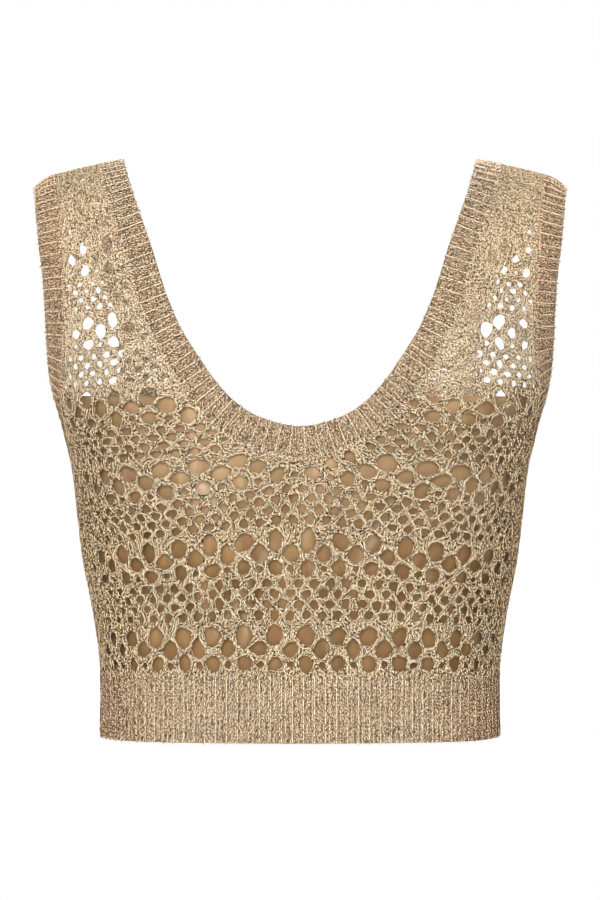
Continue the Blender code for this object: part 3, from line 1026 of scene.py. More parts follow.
# tubes of yarn along many lines; each line comes with its outward directions and its flat chart
def yarnTubes(lines, seed):
    random = np.random.default_rng(seed)
    plies = np.array(net["plies"])
    sides = len(plies)
    points, quads, caps, shades, warms, flats = [], [], [], [], [], []
    count = 0
    for number, (line, normals, chart) in enumerate(lines):
        length = len(line)
        rings = np.arange(length)[:, None]
        tangent = unit(np.gradient(line, axis=0))
        sideways = unit(np.cross(tangent, normals))
        upward = np.cross(sideways, tangent)
        angle = number * net["twistStart"] + rings * net["twist"] + np.arange(sides) * (fullTurn / sides)
        around = np.cos(angle)[..., None] * sideways[:, None, :]
        around = around + np.sin(angle)[..., None] * upward[:, None, :]
        points.append((line[:, None, :] + net["yarnRadius"] * around).reshape(-1, 3))
        paces = random.uniform(*net["slowPaces"], 3)
        starts = random.uniform(0.0, fullTurn, 3)
        slow = np.sin(rings * paces + starts).sum(axis=1, keepdims=True)
        mottle = random.uniform(*net["mottle"], (length, 1)) + slow * net["slowDepth"]
        mottle += random.normal(0.0, net["yarnSpread"])
        turn = chart[:, :1] / chartRadius
        travel = chart[:, 1:]
        # ply colours and random mottle, plus painted light towards the shoulders and painted shade towards
        # the side seams
        shades.append((plies + mottle + paintedLightAndShade(turn, travel)).ravel())
        warms.append(np.repeat(warmthOf(turn, travel), sides))
        flats.append(beside(chart, net["yarnRadius"] * np.cos(angle)).reshape(-1, 2))
        ids = count + gridIds((length, sides))
        here = ids[:-1]
        there = ids[1:]
        around = [here, np.roll(here, -1, 1), np.roll(there, -1, 1), there]
        quads.append(np.stack(around, axis=-1).reshape(-1, 4))
        caps += [ids[0][::-1], ids[-1]]
        count += ids.size
    values = {"plyAndPaintedLight": np.concatenate(shades), "warm": np.concatenate(warms)}
    return np.concatenate(points), np.concatenate(quads), np.array(caps), values, np.concatenate(flats)


# each stretch of equal flags: its first place, and the first one past it
def stretches(flags):
    bounds = [0, *(np.nonzero(np.diff(flags.astype(int)))[0] + 1), len(flags)]
    return zip(bounds[:-1], bounds[1:])


# cut a yarn where it leaves the cloth, and space its points evenly
def cutAndSpace(yarn, kept, stride):
    leastPoints = 4
    pieces = []
    for a, b in stretches(kept):
        if not kept[a] or b - a < leastPoints:
            continue
        along = wayAlong(yarn[0][a:b])
        if along[-1] < net["shortest"]:
            continue
        at = np.linspace(0.0, along[-1], max(leastPoints, int(round(along[-1] / stride)) + 1))
        pieces.append([readAlong(at, along, part[a:b]) for part in yarn])
    return pieces


def netYarns(side, rows, seed):
    random = np.random.default_rng(seed)
    outline = panelOutline(side, -net["underBand"])
    reach = net["wales"] + net["pastSide"]
    waves = np.linspace(-reach, reach, 2 * reach * net["samples"] + 1)
    angle = waves * fullTurn
    shiver = net["shiver"]
    lines = []
    first, last = [repeats * net["repeat"] / net["course"] for repeats in net["courseRepeats"]]
    for course in range(math.floor(first), math.ceil(last)):
        # wale middles lie half way between whole wales
        wale = waves + 0.5 + net["loopSway"] * np.sin(2 * angle) / net["waleWidth"]
        rise = course * net["course"] + net["loopHeight"] * (1.0 + np.cos(angle))
        lift = net["midLift"] - net["loopDepth"] * np.cos(2 * angle)
        wale, rise = openEyelets(rows, *wander(wale, rise, seed))
        # each course shivers in its own way, so that the yarns round an eyelet cross
        for _ in range(2):
            paces = random.uniform(*net["shiverPaces"], 3)
            starts = random.uniform(0.0, fullTurn, 3)
            wale = wale + shiver / net["waleWidth"] * np.sin(waves * paces[0] + starts[0])
            rise = rise + shiver * np.sin(waves * paces[1] + starts[1])
            lift = lift + net["liftShiver"] * np.sin(waves * paces[2] + starts[2])
        turn, travel = netPlace(side, wale, rise)
        kept = insideOutline(turn, travel, outline)
        if not kept.any():
            continue
        lift = lift + random.uniform(-net["liftSpread"], net["liftSpread"])
        line, normals = lifted(side, turn, travel, lift)
        # no yarn jumps over an eyelet
        kept[1:] &= np.linalg.norm(np.diff(line, axis=0), axis=1) <= net["longestStep"]
        lines += cutAndSpace((line, normals, onChart(turn, travel)), kept, net["stride"][side])
    return lines


# the yarns cross the centre line: each half takes its own stretches, the -X half first
def halves(lines):
    sides = {False: [], True: []}
    for yarn in lines:
        over = yarn[2][:, 0] >= 0
        for a, b in stretches(over):
            end = min(b + 1, len(over))
            if end - a >= 3:
                sides[bool(over[a])].append([part[a:end] for part in yarn])
    return sides.values()


# the close ground of the net, with its eyelets cut through it
film = {
    "waleStep": 0.5,
    "riseStep": 5.0 / 3,
    "repeats": (0.6, 7.2),      # below and above the first one's foot
    "lift": 1.62,
    "underBand": 2.4,
    "rimSlack": 0.2,
    "seamGap": 0.04,
    "seamReach": 4.5,
    "topSlack": 0.25,
    # painted light in the gaps: none over the lining, full above its top edge
    "paintedLightTravel": (-4.0, 10.0),   # from the lining's top edge, where it starts to pale and is palest
    # the back's gaps keep some painted light everywhere
    "leastPaintedLight": {front: 0.0, back: 0.25},
}


# the flags of each cell's four corners
def cellCorners(flags):
    return np.stack([flags[:-1, :-1], flags[:-1, 1:], flags[1:, :-1], flags[1:, 1:]])


def makeFilm(side, name, rows, seed):
    reach = int((net["wales"] + net["pastSide"]) / film["waleStep"])
    below, above = [int(repeats * net["repeat"] / film["riseStep"]) for repeats in film["repeats"]]
    columns, levels = np.meshgrid(np.arange(-reach, reach + 1), np.arange(-below, above + 1))
    shape = columns.shape
    flatWale = columns.ravel() * film["waleStep"]
    flatRise = levels.ravel() * film["riseStep"]
    wale, rise = openEyelets(rows, *wander(flatWale, flatRise, seed))
    wale, rise = wale.reshape(shape), rise.reshape(shape)
    keep = np.ones((shape[0] - 1, shape[1] - 1), bool)
    # four cells make each hole, with their outer corners on its rim
    for row in rows:
        for number in np.nonzero(row["size"] > 0)[0]:
            middleWale = row["first"] + number * row["step"]
            middle = np.array([middleWale * net["waleWidth"], row["height"]]) + row["slip"][number]
            i = int(round(middleWale / film["waleStep"])) + reach
            j = int(round(row["height"] / film["riseStep"])) + below
            if not (1 <= i < shape[1] - 1 and 1 <= j < shape[0] - 1):
                continue
            keep[j - 1:j + 1, i - 1:i + 1] = False
            for dj, di in ((0, 1), (1, 1), (1, 0), (1, -1), (0, -1), (-1, -1), (-1, 0), (-1, 1)):
                direction = unit(np.array([[di * 1.0, dj * row["half"][1] / row["half"][0]]]))
                rim = eyeletRim(row, np.array([number]), direction)[0] + film["rimSlack"]
                place = middle + direction[0] * rim
                wale[j + dj, i + di] = place[0] / net["waleWidth"]
                rise[j + dj, i + di] = place[1]
    turn, travel = netPlace(side, wale, rise)
    # cells that straddle a side or shoulder seam are drawn up to it
    top = form["shoulderSeam"] - film["seamGap"]
    pastSide = (np.abs(turn) > quarterTurn) & (np.abs(turn) < quarterTurn + film["seamReach"] / chartRadius)
    pastTop = (travel > top) & (travel < top + film["seamReach"])
    turn = np.where(pastSide, np.sign(turn) * (quarterTurn - film["seamGap"] / chartRadius), turn)
    travel = np.where(pastTop, top, travel)
    inside = insideOutline(turn, travel - film["topSlack"], panelOutline(side, -film["underBand"]))
    keep &= cellCorners(inside).all(axis=0) & cellCorners(~(pastSide | pastTop)).any(axis=0)
    quads = gridQuads(shape)[keep]
    if side == back:
        quads = quads[:, ::-1]
    used, quads = np.unique(quads, return_inverse=True)
    points, _ = lifted(side, turn, travel, film["lift"])
    # the gaps get painted shade over the lining and painted light above it
    first, last = film["paintedLightTravel"]
    least = film["leastPaintedLight"][side]
    lightness = np.clip((travel - form["liningTop"] - first) / (last - first), 0.0, 1.0)
    lightness = least + (1.0 - least) * lightness
    values = {"paintedLightShare": lightness.ravel()[used], "wale": flatWale[used], "rise": flatRise[used]}
    chart = onChart(turn, travel).reshape(-1, 2)[used]
    piece = clothMesh(name, points.reshape(-1, 3)[used], quads, [], netGround, values, chart)
    print(piece.name, quads.size // 2, "triangles")
    return piece


def makeNet(side, name, node, seed):
    rows = eyeletRows(side, seed)
    ground = makeFilm(side, name + "_ground", rows, seed)
    lines = netYarns(side, rows, seed)
    pieces = []
    # left is the -X half of both nets
    for label, half in zip(("left", "right"), halves(lines)):
        points, quads, caps, values, flats = yarnTubes(half, seed)
        piece = clothMesh(name + "_" + label, points, quads, caps, netYarn, values, flats)
        pieces.append(piece)
        print(piece.name, len(quads) * 2 + len(caps), "triangles")
    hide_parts(node)
    return pieces, ground


frontNet, frontGround = makeNet(front, "front_net", "front_panel", 11)
backNet, backGround = makeNet(back, "back_net", "back_panel", 23)
print("net panels knitted")

# ribbed bands: a corrugated ground with columns of stitches on its crests
rib = {
    "pitch": 3.45,
    "perPitch": 4,              # columns of the ground to each rib
    "course": 2.1,
    "edgeSteps": 20,
    "groundLift": 1.75,
    "groundThickness": 0.7,
    "groundRows": 3,            # courses to each row of the ground
    "wave": 0.40,
    "seamGap": 0.04,
    "hemRide": 2.4,             # how far the free edge of the hem rides up at the side seams
    "hemRideFrom": 0.55,        # share of the way round where it starts to
    "stitchRadius": 0.46,
    # where the two legs of a stitch start and end: across as shares of the pitch, and their lifts
    "foot": 0.07,
    "lean": {"neck": 0.32, "arm": 0.32, "hem": 0.24},
    "footLift": 2.50,
    "topLift": 2.90,
    "liftSpread": 0.12,
    "ribLifts": (0.14, -0.12),  # of every second rib, and of the others
    "overlap": 1.12,            # leg length as a share of the course
    "ridgeOverlap": 0.25,
    # how much one leg of every second rib stands out, raised and with a painted highlight, how light and how
    # warm the band is
    "ridges": {"neck": (0.74, -0.07, 0.3), "arm": (0.84, 0.03, 1.0), "hem": (0.36, 0.07, 0.0)},
    "ridgeLift": 0.25,
    # painted shade on the legs beside each highlighted crest
    "paintedGrooveShade": -0.22,
    # how strongly the bands take the painted shade towards the side seams
    "paintedSideShadeWeight": 1.3,
    # how far the ribs stand past the free edge: all, least and most share, every second rib and the others
    "scallop": 0.60,
    "scallopShares": (0.2, 1.4),
    "scallopRibs": (1.5, 0.4),
}

# a leg of a stitch is a spindle: its ends stand out by a share of its radius
leg = {
    "sides": 4,
    "tip": 0.3,
    "rings": ((0.30, 0.95), (0.72, 1.0)),     # how far along, how thick
    # legs differ in tone at random, and so do their corners and their lower halves; the corners also carry
    # painted shade
    "shade": 0.46,
    "legSpread": 0.13,
    "cornerSpread": 0.14,
    "halfSpread": 0.18,
    # painted shade: the tips and the corners that face the ground are darker, the outward corners a little
    # lighter
    "corners": (-0.45, 0.10, 0.07, -0.66, -0.66, 0.10, 0.07, -0.66, -0.66, -0.45),
}

# the chain that links a band to the net, along the band's last row
chain = {
    "pitch": 2.3,
    # in courses past that row: its middle, how far a leg starts and ends from it, how uneven it is
    "middle": 0.20,
    "footAside": 0.10,
    "topAside": 0.42,
    "stray": 0.18,
    "overlap": 1.15,            # leg length as a share of the pitch
    "lift": 2.75,
    "slope": 0.15,              # a leg starts this much lower and ends this much higher
    "tone": 0.12,
}


# one leg for each row of starts and ends, with its flat chart
def legs(starts, ends, normals, chartStarts, chartEnds, radius):
    axis = ends - starts
    tangent = unit(axis)
    sideways = unit(np.cross(tangent, normals))[:, None, :]
    upward = np.cross(sideways, tangent[:, None, :])
    chartAxis = chartEnds - chartStarts
    chartAlong = unit(chartAxis)
    chartAcross = np.stack([-chartAlong[:, 1], chartAlong[:, 0]], axis=-1)[:, None, :]
    sides = leg["sides"]
    angles = (np.arange(sides) * (fullTurn / sides) + fullTurn / sides / 2)[None, :, None]
    tip = tangent * radius * leg["tip"]
    rings = [(starts - tip)[:, None, :]]
    charts = [chartStarts[:, None, :]]
    for part, thick in leg["rings"]:
        around = np.cos(angles) * sideways + np.sin(angles) * upward
        rings.append((starts + axis * part)[:, None, :] + radius * thick * around)
        middle = (chartStarts + chartAxis * part)[:, None, :]
        charts.append(middle + radius * thick * np.cos(angles) * chartAcross)
    rings.append((ends + tip)[:, None, :])
    charts.append(chartEnds[:, None, :])
    last = 2 * sides + 1
    base = np.arange(len(starts))[:, None] * (last + 1)
    quads, triangles = [], []
    for i in range(1, sides + 1):
        j = i % sides + 1
        quads.append(base + np.array([[i, j, sides + j, sides + i]]))
        triangles.append(base + np.array([[0, j, i]]))
        triangles.append(base + np.array([[last, sides + i, sides + j]]))
    points = np.concatenate(rings, axis=1).reshape(-1, 3)
    chart = np.concatenate(charts, axis=1).reshape(-1, 2)
    return points, np.concatenate(quads), np.concatenate(triangles), chart


# one piece from rows of starts, ends, outward directions, charts, tones and warmths
def sewLegs(name, rows, radius, random):
    *columns, tones, warms = [np.concatenate(column) for column in zip(*rows)]
    points, quads, triangles, chart = legs(*columns, radius)
    count = len(tones)
    corners = leg["corners"]
    shade = tones[:, None] + random.normal(leg["shade"], leg["legSpread"], (count, 1))
    shade = shade + random.normal(0.0, leg["cornerSpread"], (count, len(corners)))
    shade[:, 1:1 + leg["sides"]] += random.normal(0.0, leg["halfSpread"], (count, 1))
    # random tone plus painted shade on the corners, painted highlight on the crests, and painted light and
    # shade by place
    values = {"plyAndPaintedLight": (shade + np.array(corners)).ravel(), "warm": np.repeat(warms, len(corners))}
    piece = clothMesh(name, points, quads, triangles, ribYarn, values, chart)
    print(piece.name, len(quads) * 2 + len(triangles), "triangles")
    return piece


# legs from low to top places
def legRow(side, low, top, lowLift, topLift, tone, warm):
    start, normal = lifted(side, *turnTravel(low), lowLift)
    end, _ = lifted(side, *turnTravel(top), topLift)
    columns = (start, end, normal, onChart(*turnTravel(low)), onChart(*turnTravel(top)))
    flat = [column.reshape(-1, column.shape[-1]) for column in columns]
    return flat + [np.broadcast_to(value, low.shape[:-1]).ravel() for value in (tone, warm)]


# distances a pitch apart along a line of places, and the line's own
def pitchesAlong(side, places, pitch):
    along = wayAlong(formPoint(side, *turnTravel(places)))
    return np.linspace(0.0, along[-1], int(along[-1] / pitch) + 1), along


# a band's grid of places: rows of distances from its free edge, for columns along the edge
def bandGrid(kind, side):
    widths = bandWidths(kind, side)
    ribs = int(round(freeEdge(kind, side, 3)[2] / rib["pitch"]))
    turn, travel, _ = freeEdge(kind, side, ribs * rib["perPitch"] + 1)
    courses = int(round(sum(widths) / 2 / rib["course"]))
    insets = np.linspace(0.0, 1.0, courses + 1)[:, None] * np.linspace(*widths, len(turn))
    turns, travels = insetRows(kind, side, turn, travel, insets, max(widths), rib["edgeSteps"])
    travels[:, -1] = form["shoulderSeam"] - rib["seamGap"]
    if kind == "arm":
        turns[:, 0] = quarterTurn - rib["seamGap"] / chartRadius
    return turns, travels


def hemGrid(side):
    edge, seamLevel = form["hem"], form["hemSeam"]
    ribs = int(round(girthAt(side, 0.5 * (edge + seamLevel)) / rib["pitch"]))
    courses = int(round((seamLevel - edge) / rib["course"]))
    shares = np.linspace(0.0, 1.0, ribs * rib["perPitch"] + 1)
    shares, travels = np.meshgrid(shares, np.linspace(edge, seamLevel, courses + 1))
    start = rib["hemRideFrom"]
    ride = np.clip((shares - start) / (1.0 - start), 0.0, 1.0) ** 2 * rib["hemRide"]
    travels = travels + ride * (seamLevel - travels) / (seamLevel - edge)
    turns = turnAtArc(side, shares * girthAt(side, travels), travels)
    return np.minimum(turns, quarterTurn - rib["seamGap"] / chartRadius), travels


# the ground wall of a band, bowed out at each rib
def bandGround(name, side, turns, travels):
    wave = rib["wave"] * np.cos(np.arange(turns.shape[1]) * fullTurn / rib["perPitch"] + math.pi)
    wave = np.broadcast_to(wave, turns.shape)
    half = rib["groundThickness"] / 2
    lifts = (rib["groundLift"] - half + wave, rib["groundLift"] + half + wave)
    values = {"inside": np.repeat([1.0, 0.0], turns.size)}
    piece = clothShell(name, side, turns, travels, lifts, ribGround, values)
    return piece


# the legs of the chain: first the row that leans into the band, then the row that leans into the net
def linkChain(side, places, warmth, random):
    line = places[-1]
    at, along = pitchesAlong(side, line, chain["pitch"])
    place = readAlong(at, along, line)
    across = readAlong(at, along, line - places[-2])
    count = len(at) - 1
    for direction in (-1.0, 1.0):
        foot = chain["middle"] + chain["footAside"] * direction
        foot = foot + random.uniform(-chain["stray"], chain["stray"], (count, 1))
        end = chain["middle"] + chain["topAside"] * direction
        end = end + random.uniform(-chain["stray"], chain["stray"], (count, 1))
        low = place[:-1] + across[:-1] * foot
        top = place[:-1] + np.diff(place, axis=0) * chain["overlap"] + across[1:] * end
        lifts = (chain["lift"] - chain["slope"], chain["lift"] + chain["slope"])
        yield legRow(side, low, top, *lifts, chain["tone"], warmth)


# columns of stitches on the crests of the ribs; turns and travels hold one column for each rib edge
def bandStitches(kind, name, side, turns, travels, seed):
    random = np.random.default_rng(seed)
    ridge, lightness, warmth = rib["ridges"][kind]
    places = np.stack([turns, travels], axis=-1)
    middle = 0.5 * (places[:, 1:] + places[:, :-1])
    span = (places[:, 1:] - places[:, :-1])[:-1]
    even = np.arange(middle.shape[1]) % 2 == 0
    rows = []
    for direction in (-1.0, 1.0):
        crest = even & (direction > 0)
        stretch = (rib["overlap"] + rib["ridgeOverlap"] * crest)[:, None]
        low = middle[:-1] + span * (rib["foot"] * direction)
        top = middle[:-1] + np.diff(middle, axis=0) * stretch + span * (rib["lean"][kind] * direction)
        # the first stitches stand a little past the free edge
        past = rib["scallop"] / rib["course"] * random.uniform(*rib["scallopShares"], len(even))
        past = past * np.where(even, *rib["scallopRibs"])
        low[0] -= (middle[1] - middle[0]) * past[:, None]
        jitter = random.uniform(-rib["liftSpread"], rib["liftSpread"], low.shape[:2])
        jitter = jitter + np.where(even, *rib["ribLifts"]) + crest * ridge * rib["ridgeLift"]
        # painted highlight on the crest legs and painted shade beside them, then painted light and shade by
        # place
        tone = lightness + ridge * np.where(crest, 1.0, rib["paintedGrooveShade"])
        tone = tone + paintedLightAndShade(*turnTravel(low), rib["paintedSideShadeWeight"])
        # warmer towards the side seams as painted shade, or by the band's own warmth
        warm = np.maximum(sideShare(*turnTravel(low)), warmth)
        rows.append(legRow(side, low, top, rib["footLift"] + jitter, rib["topLift"] + jitter, tone, warm))
    if kind != "hem":
        rows += linkChain(side, places, warmth, random)
    return sewLegs(name, rows, rib["stitchRadius"], random)


# mirror says which halves: both of them, none for the +X half alone, other for the -X half alone
def makeBand(kind, side, name, node, mirror, seed):
    turns, travels = hemGrid(side) if kind == "hem" else bandGrid(kind, side)
    if mirror == "both":
        turns = np.concatenate([-turns[:, :0:-1], turns], axis=1)
        travels = np.concatenate([travels[:, :0:-1], travels], axis=1)
    elif mirror == "other":
        turns, travels = -turns[:, ::-1], travels[:, ::-1]
    some = np.unique(np.append(np.arange(0, len(turns), rib["groundRows"]), len(turns) - 1))
    ground = bandGround(name, side, turns[some], travels[some])
    ribEdges = slice(None, None, rib["perPitch"])
    stitches = bandStitches(kind, name + "_stitches", side, turns[:, ribEdges], travels[:, ribEdges], seed)
    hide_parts(node)
    if kind == "hem":
        width, length = form["hemSeam"] - form["hem"], 2 * girthAt(side, form["hemSeam"])
    else:
        width, length = sum(bandWidths(kind, side)) / 2, freeEdge(kind, side, 3)[2]
        length = length * (2 if mirror == "both" else 1)
    print(name, "cut", round(width), "by", round(length), "mm")


# here left is the +X half
seed = 100
for side, word in ((front, "front"), (back, "back")):
    makeBand("neck", side, "neck_rib_" + word, "neckband_" + word, "both", seed)
    makeBand("hem", side, "hem_rib_" + word, "hem_band_" + word, "both", seed + 1)
    for hand, mirror in (("left", "none"), ("right", "other")):
        end = word + "_" + hand
        makeBand("arm", side, "arm_rib_" + end, "armband_" + end, mirror, seed + 2)
        seed += 1
    seed += 10
print("bands ribbed")

# the lining: a thin smooth shell behind the front
lining = {
    "lifts": (0.1, 0.7),
    "tuck": 3.0,                # how far it runs down behind the hem band
    "inset": 0.5,               # how far it stops short of the other bands' seams
    "sideGap": 0.0012,          # turn that it keeps free of the side seams
    "columns": 112,
    "rows": 44,
    # soft ripples all over: how many, how deep, how close across and along
    "ripples": 6,
    "rippleDepth": 0.26,
    "rippleAcross": (0.12, 0.34),
    "rippleAlong": (0.02, 0.12),
    "rippleStart": (0.0, 6.28),
    "rippleSeed": 5,
    # soft creases: x and travel at one end, x and travel at the other, depth, half width
    "creases": (
        (-14.0, -232.0, -58.0, -300.0, 2.2, 5.0),
        (-30.0, -240.0, -36.0, -308.0, 1.6, 4.0),
        (60.0, -205.0, 30.0, -262.0, 1.3, 6.0),
        (-70.0, -190.0, -40.0, -226.0, 1.2, 5.0),
        (84.0, -238.0, 66.0, -312.0, 1.7, 5.0),
        (10.0, -268.0, 22.0, -316.0, 1.2, 4.0),
    ),
    "creaseEnds": (0.02, 0.98),
    "crestNarrow": 1.9,
    "crestDeepest": 2.2,
    # painted highlight on the crease crests, at its strongest
    "crestPaintedHighlight": 0.75,
}


# how deep the lining folds in, and how much painted highlight lies on a crease's crest
def foldsAt(x, travel):
    random = np.random.default_rng(lining["rippleSeed"])
    depth = np.zeros_like(x)
    crest = np.zeros_like(x)
    for _ in range(lining["ripples"]):
        across = random.uniform(*lining["rippleAcross"]) * random.choice((-1.0, 1.0))
        along = random.uniform(*lining["rippleAlong"])
        start = random.uniform(*lining["rippleStart"])
        depth += lining["rippleDepth"] * (1.0 + np.sin(x * across + travel * along + start))
    for x0, t0, x1, t1, deep, half in lining["creases"]:
        run = np.array([x1 - x0, t1 - t0])
        part = np.clip(((x - x0) * run[0] + (travel - t0) * run[1]) / (run @ run), 0.0, 1.0)
        away = np.hypot(x - x0 - run[0] * part, travel - t0 - run[1] * part) / half
        fade = np.sin(np.clip(part, *lining["creaseEnds"]) * math.pi)
        depth += deep * fade * np.exp(-away ** 2)
        narrow = np.exp(-(away * lining["crestNarrow"]) ** 2)
        crest = np.maximum(crest, fade * narrow * deep / lining["crestDeepest"])
    return depth, crest * lining["crestPaintedHighlight"]


def makeLining():
    low = form["hemSeam"] - lining["tuck"]
    top = form["liningTop"]
    armTurn, armTravel = seamLine("arm", front, lining["inset"])
    neckTurn, neckTravel = seamLine("neck", front, lining["inset"])
    side = quarterTurn - lining["sideGap"]
    shares = np.linspace(-1.0, 1.0, lining["columns"] + 1)
    levels = np.linspace(low, top, lining["rows"] + 1)
    # the lining stops at its level top edge, and short of the neckband's seam and the armband's
    topTurns = shares * np.interp(top, armTravel, armTurn, left=side)
    ceiling = np.minimum(np.interp(np.abs(topTurns), neckTurn, neckTravel), top)
    travels = low + ((levels - low) / (top - low))[:, None] * (ceiling - low)
    turns = shares * np.interp(travels, armTravel, armTurn, left=side)
    fold, crest = foldsAt(formPoint(front, turns, travels)[..., 0], travels)
    lifts = [lift - fold for lift in lining["lifts"]]
    values = {"crest": np.tile(crest.ravel(), 2)}
    piece = clothShell("lining", front, turns, travels, lifts, liningJersey, values)
    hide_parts("lining_front")
    return piece


liningPiece = makeLining()
print("lining laid in")

# stitches over the seams that join front and back, at the sides and on the shoulders
seam = {
    "pitch": 2.3,
    "reach": 1.5,
    "lift": 2.5,
    "radius": 0.42,
    "tone": 0.1,
    "warmth": 0.6,
    "places": 60,
    "sideEnds": (3.0, -0.6),    # from the hem, and from the underarm
    "shoulderEnds": 0.004,      # turn left free at the neck and at the armhole
    "sideSeed": 301,
    "shoulderSeed": 302,
}


def seamStitches(name, turn, travel, alongSide, seed):
    places = np.stack(np.broadcast_arrays(turn, travel), axis=-1)
    at, along = pitchesAlong(front, places, seam["pitch"])
    turn, travel = turnTravel(readAlong(at, along, places))
    withTurn, withTravel, normal = formFrame(front, turn, travel)
    across = unit(withTurn * np.sign(turn)[:, None] if alongSide else withTravel) * seam["reach"]
    base = formPoint(front, turn, travel) + normal * seam["lift"]
    chart = onChart(turn, travel)
    aside = np.array([seam["reach"], 0.0] if alongSide else [0.0, seam["reach"]])
    tones = np.full(len(at) - 1, seam["tone"])
    warms = np.full(len(at) - 1, seam["warmth"])
    starts, ends = base[:-1] - across[:-1], base[1:] + across[1:]
    row = (starts, ends, normal[:-1], chart[:-1] - aside, chart[1:] + aside, tones, warms)
    return sewLegs(name, [row], seam["radius"], np.random.default_rng(seed))


seams = []
for hand, sign in (("left", 1.0), ("right", -1.0)):
    fromHem, fromArm = seam["sideEnds"]
    travel = np.linspace(form["hem"] + fromHem, edges["armFront"][0][1] + fromArm, seam["places"])
    seams.append(seamStitches("side_seam_" + hand, sign * quarterTurn, travel, True, seam["sideSeed"]))
    neckEnd = openingLine("neck", front)[0][-1] + seam["shoulderEnds"]
    armEnd = openingLine("arm", front)[0][-1] - seam["shoulderEnds"]
    turn = np.linspace(neckEnd, armEnd, seam["places"]) * sign
    name = "shoulder_seam_" + hand
    seams.append(seamStitches(name, turn, form["shoulderSeam"], False, seam["shoulderSeed"]))
print("seams sewn")

# how the cuts are measured: places round and up for the area, levels for the width,
# and a line through a strap, given by a half width and its travel, for the length
cutting = {
    "round": 240,
    "up": 360,
    "levels": 30,
    "strapPlaces": 200,
    "strapAt": (105.0, -100.0),
}


# the cut of a net panel's half and of the lining's half, off the form
def cutOf(side, outline, low, top):
    roundCount, upCount, strapCount = cutting["round"], cutting["up"], cutting["strapPlaces"]
    grid = np.meshgrid(np.linspace(0.0, quarterTurn, roundCount), np.linspace(low, top, upCount))
    turns, travels = [part.ravel() for part in grid]
    withTurn, withTravel, _ = formFrame(side, turns, travels)
    cells = np.linalg.norm(np.cross(withTurn, withTravel), axis=1)
    cells = cells * (quarterTurn / roundCount) * ((top - low) / upCount)
    area = (cells * insideOutline(turns, travels, outline)).sum()
    width = girthAt(side, np.linspace(low, edges["armFront"][0][1], cutting["levels"])).max()
    strapTurn = turnAtWidth(side, *np.array(cutting["strapAt"]))
    line = formPoint(side, np.full(strapCount, strapTurn), np.linspace(low, top, strapCount))
    return width * mm, wayAlong(line)[-1] * mm, area * mm * mm


def declareCuts():
    for side, name, halfPieces, extras in ((front, "front net", frontNet, [frontGround, *seams]),
                                           (back, "back net", backNet, [backGround])):
        width, length, area = cutOf(side, panelOutline(side, 0.0), form["hemSeam"], form["shoulderSeam"])
        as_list(extras)
        print(name, "half cut", round(width, 3), "by", round(length, 3), "m, area", round(area, 4))
    low = form["hemSeam"] - lining["tuck"]
    width, length, area = cutOf(front, panelOutline(front, lining["inset"]), low, form["liningTop"])
    print("lining cut", round(2 * width, 3), "by", round(length, 3), "m, area", round(2 * area, 4))


declareCuts()

# the plain stage, in metres
stage = {
    "floorHeight": -1.25,
    "floorRadius": 6.5,
    "floorSides": 96,
    "floorColour": (0.88, 0.88, 0.88, 1.0),
    "floorRoughness": 0.9,
    "floorGlow": 0.25,          # the lit sweep of the studio
    "white": (1.0, 1.0, 1.0, 1.0),
    "aim": (0.0, 0.0, -0.2),
    # the lights: place, size and power
    "lights": {
        "keyLight": ((-0.8, -3.45, 1.4), 1.3, 104.0),
        "fillLight": ((0.7, -3.6, 0.1), 1.5, 40.0),
        "topLight": ((0.0, 0.0, 2.2), 1.2, 14.0),
        "backLight": ((0.8, 3.3, 1.3), 1.8, 60.0),
    },
    "skyOnCloth": 0.32,         # the white surround lights the cloth less than the lamps do
    "skySeen": 1.0,
    "pixelFilter": 1.0,         # crisp, as the yarns are
}
scene = bpy.context.scene


def addToScene(name, data):
    thing = bpy.data.objects.new(name, data)
    scene.collection.objects.link(thing)
    return thing


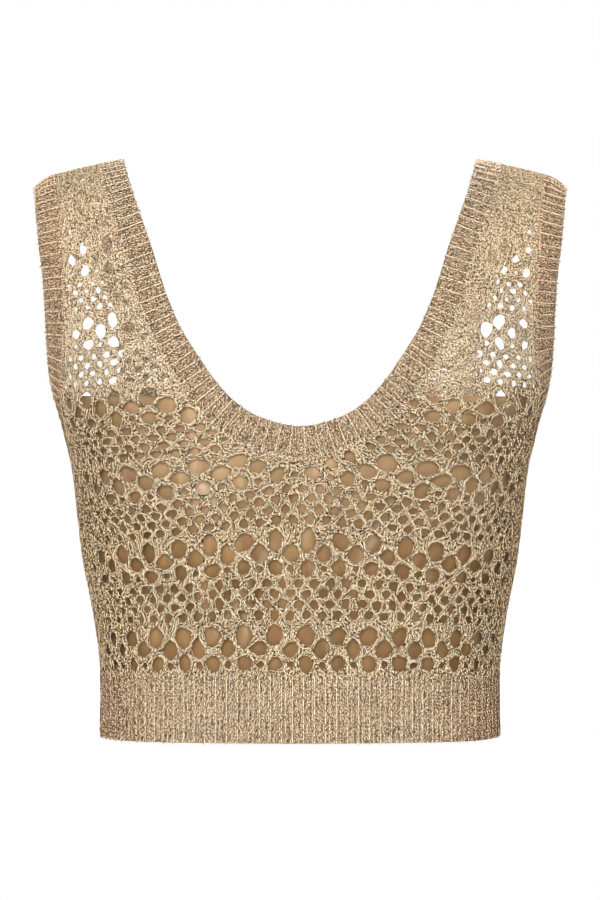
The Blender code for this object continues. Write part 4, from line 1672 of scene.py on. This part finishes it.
def makeFloor():
    around = np.arange(stage["floorSides"]) * (fullTurn / stage["floorSides"])
    across = np.cos(around) * stage["floorRadius"]
    along = np.sin(around) * stage["floorRadius"]
    mesh = bpy.data.meshes.new("floor")
    ring = [(x, y, stage["floorHeight"]) for x, y in zip(across, along)]
    mesh.from_pydata(ring, [], [tuple(range(len(ring)))])
    finish, tree = newFinish("floorPaint")
    shader = tree.nodes["Principled BSDF"]
    shader.inputs["Base Color"].default_value = stage["floorColour"]
    shader.inputs["Roughness"].default_value = stage["floorRoughness"]
    shader.inputs["Emission Color"].default_value = stage["white"]
    shader.inputs["Emission Strength"].default_value = stage["floorGlow"]
    mesh.materials.append(finish)
    addToScene("floor", mesh)


def lightStage():
    for name, (place, size, power) in stage["lights"].items():
        lamp = bpy.data.lights.new(name, "AREA")
        lamp.shape = "DISK"
        lamp.size = size
        lamp.energy = power
        light = addToScene(name, lamp)
        light.location = place
        light.rotation_euler = (Vector(stage["aim"]) - Vector(place)).to_track_quat("-Z", "Y").to_euler()
    world = bpy.data.worlds.new("studio")
    world.use_nodes = True
    tree = world.node_tree
    sky = tree.nodes["Background"]
    sky.inputs["Color"].default_value = stage["white"]
    seen = addNode(tree, "LightPath").outputs["Is Camera Ray"]
    strength = addNode(tree, "MapRange", {
        "Value": seen, "To Min": stage["skyOnCloth"], "To Max": stage["skySeen"]})
    tree.links.new(strength.outputs["Result"], sky.inputs["Strength"])
    scene.world = world
    scene.view_settings.view_transform = "Standard"
    scene.view_settings.look = "None"
    scene.cycles.filter_width = stage["pixelFilter"]


makeFloor()
lightStage()

# the camera looks level at the front from 4.5 m
camera = {
    "distance": 4.5,
    "height": -0.17728,
    "fieldHeight": 0.576,
    "sensorHeight": 24.0,
    "farthest": 60.0,
}
lens = bpy.data.cameras.new("photoView")
lens.sensor_fit = "VERTICAL"
lens.sensor_height = camera["sensorHeight"]
lens.lens = camera["sensorHeight"] * camera["distance"] / camera["fieldHeight"]
lens.clip_end = camera["farthest"]
view = addToScene("photoView", lens)
view.location = (0.0, -camera["distance"], camera["height"])
view.rotation_euler = (quarterTurn, 0.0, 0.0)
scene.camera = view
print("stage, lights and camera set")
